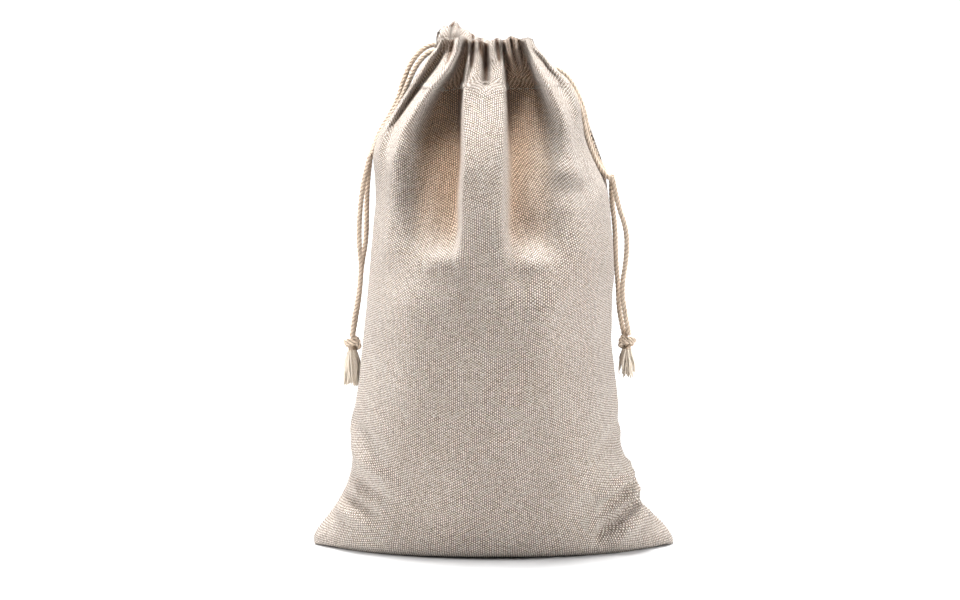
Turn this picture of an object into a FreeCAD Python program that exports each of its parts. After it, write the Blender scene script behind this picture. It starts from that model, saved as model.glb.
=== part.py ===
import FreeCAD, Part
import math
import os
import Sketcher
from FreeCAD import Placement, Rotation, Vector

# Double-drawstring fabric gift sack, standing full with its mouth drawn shut.
# Millimetres. +Z up, front faces -Y, +X is the right-hand side seen from the front.
# The origin is the middle of the base, on the surface that the sack stands on.
# The body cloth is folded at the base. Its front and back halves meet at the base fold and at the side
# seams. Above the side slits the front and back are separate flaps, each ending in a casing with a cord channel.

doc = FreeCAD.newDocument("gift_sack")
sheet = doc.addObject("Spreadsheet::Sheet", "dims")
sheet_row = 0


def put(alias, value):
    """One driving dimension: its name in column A, its number in column B."""
    global sheet_row
    sheet_row += 1
    sheet.set("A%d" % sheet_row, alias)
    sheet.set("B%d" % sheet_row, "%g" % value)
    sheet.setAlias("B%d" % sheet_row, alias)


# cloth
put("cloth_wall", 0.95)  # doubled-up shell thickness that stands for the cloth with its slubs
put("side_wall", 1.1)
put("panel_meet", 0.01)  # half the space between front and back along the base fold and side seams
# body cross-sections: height, half the width, half the depth
panel_stations = [
    (0.0, 73.5, 24.0),
    (5.0, 72.6, 28.0),
    (12.0, 67.5, 31.5),
    (22.0, 61.3, 35.0),
    (40.0, 56.0, 38.5),
    (72.0, 51.8, 41.2),
    (110.0, 49.7, 42.0),
    (138.0, 48.0, 40.2),
    (157.0, 46.5, 36.5),
]
for n, (height, half_width, half_depth) in enumerate(panel_stations, 1):
    put("panel%d_height" % n, height)
    put("panel%d_halfwidth" % n, half_width)
    put("panel%d_halfdepth" % n, half_depth)
# flap cross-sections above the side slits: height, half width, half depth, half the slit's opening
flap_stations = [
    (157.4, 46.5, 36.5, 0.3),
    (167.0, 44.4, 31.0, 0.9),
    (177.0, 39.0, 22.6, 2.0),
    (186.8, 33.0, 14.5, 3.2),
]
for n, (height, half_width, half_depth, slit) in enumerate(flap_stations, 1):
    put("flap%d_height" % n, height)
    put("flap%d_halfwidth" % n, half_width)
    put("flap%d_halfdepth" % n, half_depth)
    put("flap%d_slit" % n, slit)
# casing cross-sections
casing_stations = [
    (186.8, 33.0, 14.5, 3.2),
    (197.5, 27.0, 12.0, 3.2),
    (208.0, 18.5, 8.6, 3.2),
]
for n, (height, half_width, half_depth, slit) in enumerate(casing_stations, 1):
    put("casing%d_height" % n, height)
    put("casing%d_halfwidth" % n, half_width)
    put("casing%d_halfdepth" % n, half_depth)
    put("casing%d_slit" % n, slit)
put("channel_bottom", 193.4)
put("channel_top", 200.5)
put("channel_inner", 4.6)  # distance of the channel's inner side from the middle plane
put("channel_outer", 7.5)
# side seam
put("allowance_inset", 3.0)  # from the seam line to the allowance's outer edge
put("allowance_wide", 8.0)
put("allowance_thick", 1.5)
# thread
put("thread_radius", 0.2)
put("stitch_long", 2.4)
put("stitch_pitch", 3.4)
put("thread_clear", 0.02)
# cords
put("cord_radius", 1.025)
put("left_cord_level", 198.9)  # height of each cord in the channel
put("right_cord_level", 195.0)
put("channel_middle", 6.05)
# knots and tassels
put("knot_radius", 3.5)
put("knot_neck_radius", 1.6)
put("knot_tall", 7.3)
put("left_knot_across", -57.6)
put("left_knot_bottom", 79.8)
put("right_knot_across", 55.8)
put("right_knot_bottom", 80.4)
put("tassel_top_radius", 2.3)
put("left_tassel_radius", 4.0)
put("left_tassel_long", 13.7)
put("right_tassel_radius", 3.0)
put("right_tassel_long", 11.2)
doc.recompute()


def size(alias):
    return float(sheet.get(alias))


def origin_plane(body, role):
    return next(f for f in body.Origin.OriginFeatures if f.Role == role)


def new_body(name):
    body = doc.addObject("PartDesign::Body", name)
    body.Label = name
    return body


def new_sketch(body, name, role="XY_Plane"):
    sketch = body.newObject("Sketcher::SketchObject", name)
    sketch.AttachmentSupport = [(origin_plane(body, role), "")]
    sketch.MapMode = "FlatFace"
    return sketch


def constrain(sketch, kind, *where, expression=None, name=None):
    """Adds a constraint; a dimension takes its value from an expression on the sheet."""
    n = sketch.addConstraint(Sketcher.Constraint(kind, *where))
    if name:
        sketch.renameConstraint(n, name)
        sketch.setExpression("Constraints." + name, expression)
    return n


def half_section(body, name, side, height, half_width, half_depth, slit):
    """Half of a lens-shaped cross-section: one arc and its chord, on the side -1 (front) or +1 (back).

    The four sizes are expressions on the sheet. slit is the chord's distance from the middle plane.
    """
    a, b, g = (evaluate(e) for e in (half_width, half_depth, slit))
    sketch = new_sketch(body, name)
    sketch.setExpression("AttachmentOffset.Base.z", height)
    # drawn anticlockwise: from the left at the front, from the right at the back
    first = Vector(side * a, side * g, 0)
    arc = sketch.addGeometry(Part.Arc(first, Vector(0, side * b, 0), Vector(-first.x, first.y, 0)), False)
    chord = sketch.addGeometry(Part.LineSegment(Vector(-a, side * g, 0), Vector(a, side * g, 0)), False)
    crown = sketch.addGeometry(Part.Point(Vector(0, side * b, 0)), True)
    left = 1 if side < 0 else 2
    constrain(sketch, "Coincident", arc, left, chord, 1)
    constrain(sketch, "Coincident", arc, 3 - left, chord, 2)
    constrain(sketch, "Symmetric", chord, 1, chord, 2, -2)
    constrain(sketch, "PointOnObject", crown, 1, arc)
    constrain(sketch, "PointOnObject", crown, 1, -2)
    constrain(sketch, "DistanceX", chord, 1, chord, 2, 2 * a, name="width", expression="2*(%s)" % half_width)
    ends = ((-1, 1), (crown, 1)) if side > 0 else ((crown, 1), (-1, 1))
    constrain(sketch, "DistanceY", *ends[0], *ends[1], b, name="depth", expression=half_depth)
    # the outer chord lies on its own side of the middle plane, an inner one is cut past it
    onside = (side * g) > 0
    ends = ((-1, 1), (chord, 1)) if onside else ((chord, 1), (-1, 1))
    constrain(sketch, "DistanceY", *ends[0], *ends[1], abs(g), name="slit", expression="abs(%s)" % slit)
    return sketch


def evaluate(expression):
    """The number that an expression on the sheet gives now."""
    total = 0.0
    for term in expression.replace("-", "+-").split("+"):
        term = term.strip()
        if not term:
            continue
        sign = -1 if term.startswith("-") else 1
        term = term.lstrip("-").strip()
        total += sign * (size(term[5:]) if term.startswith("dims.") else float(term))
    return total


def half_shell(name, side, prefix, count, closed_base):
    """A half shell of cloth: an outer loft, with an inner loft cut away that leaves it open to the other half."""
    body = new_body(name)
    outer = []
    for n in range(1, count + 1):
        slit = "dims.panel_meet" if prefix == "panel" else "dims.%s%d_slit" % (prefix, n)
        outer.append(
            half_section(
                body,
                "%s_outer%d" % (name, n),
                side,
                "dims.%s%d_height" % (prefix, n),
                "dims.%s%d_halfwidth" % (prefix, n),
                "dims.%s%d_halfdepth" % (prefix, n),
                slit,
            )
        )
    loft = body.newObject("PartDesign::AdditiveLoft", name + "_loft")
    loft.Profile = (outer[0], [""])
    loft.Sections = [(s, [""]) for s in outer[1:]]
    doc.recompute()
    inner = []
    for n in range(1, count + 1):
        height = "dims.%s%d_height" % (prefix, n)
        if n == 1:
            height = "dims.cloth_wall" if closed_base else height + " - 0.5"
        if n == count:
            height += " + 0.5"
        inner.append(
            half_section(
                body,
                "%s_inner%d" % (name, n),
                side,
                height,
                "dims.%s%d_halfwidth - dims.side_wall" % (prefix, n),
                "dims.%s%d_halfdepth - dims.cloth_wall" % (prefix, n),
                "-1",
            )
        )
    hollow = body.newObject("PartDesign::SubtractiveLoft", name + "_hollow")
    hollow.Profile = (inner[0], [""])
    hollow.Sections = [(s, [""]) for s in inner[1:]]
    body.Tip = hollow
    doc.recompute()
    return body


def casing(name, side):
    """The folded-over hem at the mouth, gathered thick, with the channel that both cords run in."""
    body = new_body(name)
    sections = [
        half_section(
            body,
            "%s_outer%d" % (name, n),
            side,
            "dims.casing%d_height" % n,
            "dims.casing%d_halfwidth" % n,
            "dims.casing%d_halfdepth" % n,
            "dims.casing%d_slit" % n,
        )
        for n in (1, 2, 3)
    ]
    loft = body.newObject("PartDesign::AdditiveLoft", name + "_loft")
    loft.Profile = (sections[0], [""])
    loft.Sections = [(s, [""]) for s in sections[1:]]
    doc.recompute()
    before = body.Shape.Volume
    # the channel's slot, drawn in the YZ plane (its own x is Y, its own y is Z)
    slot = new_sketch(body, name + "_channel", "YZ_Plane")
    near, far = side * size("channel_inner"), side * size("channel_outer")
    low, high = size("channel_bottom"), size("channel_top")
    corners = [Vector(near, low, 0), Vector(far, low, 0), Vector(far, high, 0), Vector(near, high, 0)]
    for n in range(4):
        slot.addGeometry(Part.LineSegment(corners[n], corners[(n + 1) % 4]), False)
    for n in range(4):
        constrain(slot, "Coincident", n, 2, (n + 1) % 4, 1)
    constrain(slot, "Horizontal", 0)
    constrain(slot, "Horizontal", 2)
    constrain(slot, "Vertical", 1)
    constrain(slot, "Vertical", 3)
    inner_ends = ((-1, 1), (0, 1)) if side > 0 else ((0, 1), (-1, 1))
    outer_ends = ((-1, 1), (0, 2)) if side > 0 else ((0, 2), (-1, 1))
    constrain(slot, "DistanceX", *inner_ends[0], *inner_ends[1], abs(near), name="inner", expression="dims.channel_inner")
    constrain(slot, "DistanceX", *outer_ends[0], *outer_ends[1], abs(far), name="outer", expression="dims.channel_outer")
    constrain(slot, "DistanceY", -1, 1, 0, 1, low, name="bottom", expression="dims.channel_bottom")
    constrain(slot, "DistanceY", -1, 1, 2, 1, high, name="top", expression="dims.channel_top")
    cut = body.newObject("PartDesign::Pocket", name + "_cut")
    cut.Profile = slot
    cut.Midplane = True
    cut.setExpression("Length", "4*dims.casing1_halfwidth")
    body.Tip = cut
    doc.recompute()
    print("%s channel removes %.0f mm3" % (name, before - body.Shape.Volume))
    assert before - body.Shape.Volume > 500
    return body


def allowance(name, side):
    """The turned-in allowance of a side seam: a narrow upright band inside the sack, flat on the middle plane."""
    body = new_body(name)
    sketch = new_sketch(body, name + "_outline", "XZ_Plane")
    levels = list(range(2, 9))
    points, expressions = [], []
    for n in levels:
        points.append((size("panel%d_halfwidth" % n) - size("allowance_inset"), size("panel%d_height" % n)))
        expressions.append(("dims.panel%d_halfwidth - dims.allowance_inset" % n, "dims.panel%d_height" % n))
    for n in reversed(levels):
        inset = size("allowance_inset") + size("allowance_wide")
        points.append((size("panel%d_halfwidth" % n) - inset, size("panel%d_height" % n)))
        expressions.append(
            ("dims.panel%d_halfwidth - dims.allowance_inset - dims.allowance_wide" % n, "dims.panel%d_height" % n)
        )
    corners = [Vector(side * x, z, 0) for x, z in points]
    count = len(corners)
    for n in range(count):
        sketch.addGeometry(Part.LineSegment(corners[n], corners[(n + 1) % count]), False)
    for n in range(count):
        constrain(sketch, "Coincident", n, 2, (n + 1) % count, 1)
    for n, (across, up) in enumerate(expressions):
        ends = ((-1, 1), (n, 1)) if side > 0 else ((n, 1), (-1, 1))
        constrain(sketch, "DistanceX", *ends[0], *ends[1], points[n][0], name="across%d" % n, expression=across)
        constrain(sketch, "DistanceY", -1, 1, n, 1, points[n][1], name="up%d" % n, expression=up)
    pad = body.newObject("PartDesign::Pad", name + "_pad")
    pad.Profile = sketch
    pad.Midplane = True
    pad.setExpression("Length", "dims.allowance_thick")
    body.Tip = pad
    doc.recompute()
    return body


def feature(name, shape):
    made = doc.addObject("Part::Feature", name)
    made.Label = name
    made.Shape = shape
    return made


def stitch(start, end):
    way = end - start
    return Part.makeCylinder(size("thread_radius"), way.Length, start, way)


def seam_stitches(name, side):
    """The lock stitches of a side seam, on both faces of the allowance."""
    off = size("allowance_thick") / 2 + size("thread_radius") + size("thread_clear")
    line = [
        Vector(side * (size("panel%d_halfwidth" % n) - size("allowance_inset") - 2.0), 0, size("panel%d_height" % n))
        for n in range(2, 9)
    ]
    pieces = []
    for start, end in zip(line, line[1:]):
        way = end - start
        room = way.Length - 0.8
        count = int(room / size("stitch_pitch"))
        way.normalize()
        for n in range(count):
            first = start + way * (0.4 + n * room / count)
            last = first + way * size("stitch_long")
            for face in (-1, 1):
                shift = Vector(0, face * off, 0)
                pieces.append(stitch(first + shift, last + shift))
    return feature(name, Part.makeCompound(pieces))


def casing_stitches(name, side):
    """The row of stitches that closes the casing, along its lower edge on the outside."""
    a, b, g = (size("casing1_" + k) for k in ("halfwidth", "halfdepth", "slit"))
    level = size("casing1_height")
    rise = b - g
    radius = (a * a + rise * rise) / (2 * rise)
    half_turn = math.asin(a / radius)
    away = radius + 0.45
    count = int(2 * half_turn * away * 0.94 / size("stitch_pitch"))
    pieces = []
    for n in range(count):
        turn = (n + 0.5) / count * 2 * half_turn * 0.94 - half_turn * 0.94
        half = size("stitch_long") / 2 / away
        ends = [
            Vector(away * math.sin(turn + k * half), side * (b - radius + away * math.cos(turn + k * half)), level)
            for k in (-1, 1)
        ]
        pieces.append(stitch(*ends))
    return feature(name, Part.makeCompound(pieces))


def rounded_path(points):
    """Straight runs joined by tangent arcs. Each arc's radius is 0.45 of its shorter run over tan(half the turn)."""
    points = [Vector(*p) for p in points]
    edges, radii = [], []
    at = points[0]
    for n in range(1, len(points) - 1):
        corner = points[n]
        back, ahead = points[n - 1] - corner, points[n + 1] - corner
        reach = 0.45 * min(back.Length, ahead.Length)
        back.normalize()
        ahead.normalize()
        turn = math.pi - back.getAngle(ahead)
        radius = reach / math.tan(turn / 2)
        radii.append(radius)
        first, last = corner + back * reach, corner + ahead * reach
        toward = back + ahead
        toward.normalize()
        centre = corner + toward * math.hypot(radius, reach)
        middle = centre - toward * radius
        edges.append(Part.LineSegment(at, first).toShape())
        edges.append(Part.Arc(first, middle, last).toShape())
        at = last
    edges.append(Part.LineSegment(at, points[-1]).toShape())
    return Part.Wire(edges), radii


def cord(name, points):
    """A round cord swept along its route."""
    wire, radii = rounded_path(points)
    route = feature(name + "_route", wire)
    ring = doc.addObject("Part::Circle", name + "_ring")
    ring.setExpression("Radius", "dims.cord_radius")
    way = Vector(*points[1]) - Vector(*points[0])
    ring.Placement = Placement(Vector(*points[0]), Rotation(Vector(0, 0, 1), way))
    tube = doc.addObject("Part::Sweep", name)
    tube.Label = name
    tube.Sections = [ring]
    tube.Spine = (route, ["Edge%d" % (n + 1) for n in range(len(wire.Edges))])
    tube.Solid = True
    tube.Frenet = False
    doc.recompute()
    want = math.pi * size("cord_radius") ** 2 * wire.Length
    print(
        "%s: length %.1f mm, radii %s mm, volume over section times length %.4f"
        % (name, wire.Length, " ".join("%.0f" % r for r in radii), tube.Shape.Volume / want)
    )
    assert abs(tube.Shape.Volume / want - 1) < 0.01
    return tube


def knot(name, prefix):
    """The overhand knot that ties a cord's two ends together: a rounded lump, turned about its own upright axis."""
    body = new_body(name)
    sketch = new_sketch(body, name + "_profile", "XZ_Plane")
    neck, wide, tall = size("knot_neck_radius"), size("knot_radius"), size("knot_tall")
    sketch.addGeometry(Part.LineSegment(Vector(0, 0, 0), Vector(neck, 0, 0)), False)
    arc = sketch.addGeometry(Part.Arc(Vector(neck, 0, 0), Vector(wide, tall / 2, 0), Vector(neck, tall, 0)), False)
    low = 1
    sketch.addGeometry(Part.LineSegment(Vector(neck, tall, 0), Vector(0, tall, 0)), False)
    sketch.addGeometry(Part.LineSegment(Vector(0, tall, 0), Vector(0, 0, 0)), False)
    belly = sketch.addGeometry(Part.Point(Vector(wide, tall / 2, 0)), True)
    constrain(sketch, "Coincident", 0, 2, arc, low)
    constrain(sketch, "Coincident", arc, 3 - low, 2, 1)
    constrain(sketch, "Coincident", 2, 2, 3, 1)
    constrain(sketch, "Coincident", 3, 2, 0, 1)
    constrain(sketch, "Coincident", 0, 1, -1, 1)
    constrain(sketch, "Horizontal", 0)
    constrain(sketch, "Horizontal", 2)
    constrain(sketch, "Vertical", 3)
    constrain(sketch, "PointOnObject", belly, 1, arc)
    constrain(sketch, "DistanceX", 0, 1, 0, 2, neck, name="neck", expression="dims.knot_neck_radius")
    constrain(sketch, "Equal", 0, 2)
    constrain(sketch, "DistanceY", 3, 2, 3, 1, tall, name="tall", expression="dims.knot_tall")
    constrain(sketch, "DistanceX", -1, 1, belly, 1, wide, name="belly_across", expression="dims.knot_radius")
    constrain(sketch, "DistanceY", -1, 1, belly, 1, tall / 2, name="belly_up", expression="dims.knot_tall / 2")
    turned = body.newObject("PartDesign::Revolution", name + "_turned")
    turned.Profile = sketch
    turned.ReferenceAxis = (sketch, ["V_Axis"])
    turned.Angle = 360
    body.Tip = turned
    doc.recompute()
    body.setExpression("Placement.Base.x", "dims.%s_knot_across" % prefix)
    body.setExpression("Placement.Base.z", "dims.%s_knot_bottom" % prefix)
    doc.recompute()
    return body


def tassel(name, prefix):
    """The frayed ends below a knot: a bundle that spreads downwards."""
    cone = doc.addObject("Part::Cone", name)
    cone.Label = name
    cone.setExpression("Radius1", "dims.%s_tassel_radius" % prefix)
    cone.setExpression("Radius2", "dims.tassel_top_radius")
    cone.setExpression("Height", "dims.%s_tassel_long" % prefix)
    cone.setExpression("Placement.Base.x", "dims.%s_knot_across" % prefix)
    cone.setExpression("Placement.Base.z", "dims.%s_knot_bottom - dims.%s_tassel_long" % (prefix, prefix))
    return cone


nodes = []

# sack body
nodes.append(half_shell("front_panel", -1, "panel", len(panel_stations), True))
nodes.append(half_shell("back_panel", 1, "panel", len(panel_stations), True))
nodes.append(allowance("left_seam_allowance", -1))
nodes.append(allowance("right_seam_allowance", 1))
nodes.append(seam_stitches("left_seam_thread", -1))
nodes.append(seam_stitches("right_seam_thread", 1))

# flaps and casings
for word, side in (("front", -1), ("back", 1)):
    nodes.append(half_shell(word + "_flap", side, "flap", len(flap_stations), False))
    nodes.append(casing(word + "_casing", side))
    nodes.append(casing_stitches(word + "_casing_thread", side))

# cords. Each is a loop through both channels: the left cord's ends leave at the left, the right cord's at the right.
middle = size("channel_middle")
for word, side in (("front", -1), ("back", 1)):
    # in the channel, then half of the way over the side of the mouth to the other channel
    level = size("left_cord_level")
    nodes.append(
        cord(
            "left_cord_%s_run" % word,
            [
                (-19.6, side * middle, level),
                (1.0, side * (middle - 0.05), level),
                (20.8, side * middle, level),
                (25.6, side * 6.0, level + 0.1),
                (29.4, side * 3.6, level + 0.2),
                (29.4, side * 0.2, level + 0.2),
            ],
        )
    )
    level = size("right_cord_level")
    nodes.append(
        cord(
            "right_cord_%s_run" % word,
            [
                (20.6, side * middle, level),
                (-1.0, side * (middle - 0.05), level),
                (-22.4, side * middle, level),
                (-27.4, side * 6.0, level + 0.1),
                (-31.4, side * 3.6, level + 0.2),
                (-31.4, side * 0.2, level + 0.2),
            ],
        )
    )
    # from the casing's end down the side slit
    level = size("left_cord_level")
    nodes.append(
        cord(
            "left_lead_" + word,
            [
                (-19.8, side * middle, level),
                (-26.6, side * (middle + 0.9), level + 0.9),
                (-32.6, side * 6.2, level - 0.2),
                (-36.6, side * 4.4, level - 5.6),
                (-38.8, side * 3.0, level - 13.2),
                (-42.0, side * 2.1, level - 21.0),
                (-46.6, side * 1.8, level - 28.6),
                (-49.6, side * 1.6, level - 37.2),
            ],
        )
    )
    level = size("right_cord_level")
    nodes.append(
        cord(
            "right_lead_" + word,
            [
                (20.8, side * middle, level),
                (27.6, side * (middle + 0.5), level - 0.2),
                (33.6, side * 5.4, level - 2.6),
                (37.4, side * 3.6, level - 8.2),
                (40.8, side * 2.5, level - 15.8),
                (45.2, side * 2.1, level - 23.8),
                (48.0, side * 1.9, level - 33.0),
                (49.2, side * 1.7, level - 42.0),
            ],
        )
    )

# free strands, from the bottom of each side slit to the knot
nodes.append(
    cord(
        "left_strand_front",
        [
            (-49.8, -1.6, 161.3),
            (-52.6, -2.0, 151.0),
            (-54.2, -2.4, 138.8),
            (-54.7, -2.2, 126.0),
            (-53.6, -1.9, 114.2),
            (-54.9, -1.7, 103.0),
            (-56.9, -1.5, 94.0),
            (-57.7, -1.3, 87.4),
        ],
    )
)
nodes.append(
    cord(
        "left_strand_back",
        [
            (-49.8, 1.6, 161.3),
            (-51.6, 2.0, 150.6),
            (-51.9, 2.3, 138.4),
            (-52.1, 2.1, 126.8),
            (-53.9, 1.9, 115.0),
            (-54.6, 1.7, 103.8),
            (-56.2, 1.5, 94.2),
            (-57.5, 1.3, 87.4),
        ],
    )
)
nodes.append(
    cord(
        "right_strand_front",
        [
            (49.3, -1.7, 152.6),
            (51.4, -2.2, 141.6),
            (54.5, -2.5, 130.4),
            (54.4, -2.3, 118.6),
            (52.9, -1.9, 106.4),
            (54.0, -1.6, 96.4),
            (55.7, -1.3, 88.0),
        ],
    )
)
nodes.append(
    cord(
        "right_strand_back",
        [
            (49.3, 1.7, 152.6),
            (50.4, 2.1, 142.4),
            (52.1, 2.4, 131.6),
            (51.8, 2.2, 118.4),
            (52.6, 1.9, 106.0),
            (53.6, 1.6, 96.6),
            (55.3, 1.3, 88.0),
        ],
    )
)
nodes.append(knot("left_knot", "left"))
nodes.append(knot("right_knot", "right"))
nodes.append(tassel("left_tassel", "left"))
nodes.append(tassel("right_tassel", "right"))

doc.recompute()
for made in doc.Objects:
    if "Invalid" in made.State or "Error" in made.State:
        raise RuntimeError("%s failed: %s" % (made.Name, made.State))
labels = [made.Label for made in nodes]
assert len(set(labels)) == len(labels) <= 60
for made in nodes:
    if made.Shape.isNull() or not made.Shape.isValid() or made.Shape.Volume < 0.5:
        raise RuntimeError("%s has no good shape" % made.Label)

os.makedirs("parts", exist_ok=True)
for made in nodes:
    made.Shape.exportStep("parts/%s.step" % made.Label)
    box = made.Shape.BoundBox
    print(
        "%-24s solids %3d volume %9.1f x %7.1f %7.1f y %6.1f %6.1f z %6.1f %6.1f"
        % (made.Label, len(made.Shape.Solids), made.Shape.Volume, box.XMin, box.XMax, box.YMin, box.YMax, box.ZMin, box.ZMax)
    )
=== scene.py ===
import math
import random

import bpy
import numpy as np
from mathutils import Matrix, Vector


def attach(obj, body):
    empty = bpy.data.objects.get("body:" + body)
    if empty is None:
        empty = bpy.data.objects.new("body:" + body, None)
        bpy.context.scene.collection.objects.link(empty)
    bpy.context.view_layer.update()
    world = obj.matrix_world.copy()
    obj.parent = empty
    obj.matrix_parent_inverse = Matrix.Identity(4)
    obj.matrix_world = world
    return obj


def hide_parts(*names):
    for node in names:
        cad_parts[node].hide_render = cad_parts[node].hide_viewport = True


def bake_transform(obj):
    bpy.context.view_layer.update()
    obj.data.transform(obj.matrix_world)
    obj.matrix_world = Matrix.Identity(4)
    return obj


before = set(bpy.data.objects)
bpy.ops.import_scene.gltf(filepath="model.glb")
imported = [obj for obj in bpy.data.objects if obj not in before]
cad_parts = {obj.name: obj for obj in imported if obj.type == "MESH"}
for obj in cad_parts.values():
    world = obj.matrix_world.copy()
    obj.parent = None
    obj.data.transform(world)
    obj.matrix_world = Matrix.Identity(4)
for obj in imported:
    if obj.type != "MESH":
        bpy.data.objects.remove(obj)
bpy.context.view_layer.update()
random.seed(7)
rng = np.random.default_rng(11)
MM = 0.001

# ---------------------------------------------------------------- camera, floor, light
scene = bpy.context.scene
scene.view_settings.view_transform = "Standard"
scene.view_settings.look = "None"

cam_data = bpy.data.cameras.new("camera")
cam = bpy.data.objects.new("camera", cam_data)
scene.collection.objects.link(cam)
cam_data.sensor_width = 36.0
cam_data.lens = 110.0
cam_data.dof.use_dof = False
ELEVATION = math.radians(7.0)
AIM = Vector((-5.3, 0.0, 101.6)) * MM
AWAY = 1.2
cam.location = AIM + AWAY * Vector((0.0, -math.cos(ELEVATION), math.sin(ELEVATION)))
cam.rotation_euler = (math.pi / 2 - ELEVATION, 0.0, 0.0)
scene.camera = cam


def link(ob):
    scene.collection.objects.link(ob)
    return ob


def area_light(name, at, to, size, power, colour=(1.0, 1.0, 1.0)):
    data = bpy.data.lights.new(name, "AREA")
    data.shape = "SQUARE"
    data.size = size
    data.energy = power
    data.color = colour
    ob = link(bpy.data.objects.new(name, data))
    ob.location = Vector(at)
    ob.rotation_euler = (Vector(to) - Vector(at)).to_track_quat("-Z", "Y").to_euler()
    return ob


world = bpy.data.worlds.new("studio")
scene.world = world
world.use_nodes = True
world.node_tree.nodes["Background"].inputs["Color"].default_value = (1.0, 1.0, 1.0, 1.0)
world.node_tree.nodes["Background"].inputs["Strength"].default_value = 0.08

area_light("key_left", (-1.00, -0.20, 0.58), (0.0, 0.0, 0.09), 0.50, 13.6)
area_light("key_right", (1.05, -0.20, 0.54), (0.0, 0.0, 0.09), 0.60, 13.8)
area_light("overhead", (-0.06, 0.05, 1.10), (0.0, 0.0, 0.0), 0.34, 24.5)


# ---------------------------------------------------------------- node helpers
class Tree:
    """Short calls for building a material's node tree."""

    def __init__(self, name):
        self.material = bpy.data.materials.new(name)
        self.material.use_nodes = True
        self.nodes = self.material.node_tree.nodes
        self.links = self.material.node_tree.links
        self.shader = self.nodes["Principled BSDF"]

    def node(self, kind, **settings):
        n = self.nodes.new(kind)
        for k, v in settings.items():
            setattr(n, k, v)
        return n

    def wire(self, value, socket):
        if isinstance(value, (int, float)):
            socket.default_value = value
        elif isinstance(value, tuple):
            socket.default_value = value if len(value) == 4 or socket.type == "VECTOR" else (*value, 1.0)
        else:
            self.links.new(value, socket)

    def math(self, operation, a, b=None, c=None, clamp=False):
        n = self.node("ShaderNodeMath", operation=operation, use_clamp=clamp)
        for value, socket in zip((a, b, c), n.inputs):
            if value is not None:
                self.wire(value, socket)
        return n.outputs[0]

    def mix(self, factor, a, b, blend="MIX"):
        n = self.node("ShaderNodeMix", data_type="RGBA", blend_type=blend)
        self.wire(factor, n.inputs[0])
        self.wire(a, n.inputs[6])
        self.wire(b, n.inputs[7])
        return n.outputs[2]

    def combine(self, x, y, z=0.0):
        n = self.node("ShaderNodeCombineXYZ")
        for value, socket in zip((x, y, z), n.inputs):
            self.wire(value, socket)
        return n.outputs[0]

    def noise(self, vector, scale, detail=2.0, rough=0.5):
        n = self.node("ShaderNodeTexNoise")
        self.wire(vector, n.inputs["Vector"])
        n.inputs["Scale"].default_value = scale
        n.inputs["Detail"].default_value = detail
        n.inputs["Roughness"].default_value = rough
        return n.outputs["Fac"]

    def ramp(self, value, low, high, to_low=0.0, to_high=1.0):
        n = self.node("ShaderNodeMapRange", interpolation_type="SMOOTHSTEP")
        self.wire(value, n.inputs[0])
        for k, v in zip((1, 2, 3, 4), (low, high, to_low, to_high)):
            n.inputs[k].default_value = v
        return n.outputs[0]


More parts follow.
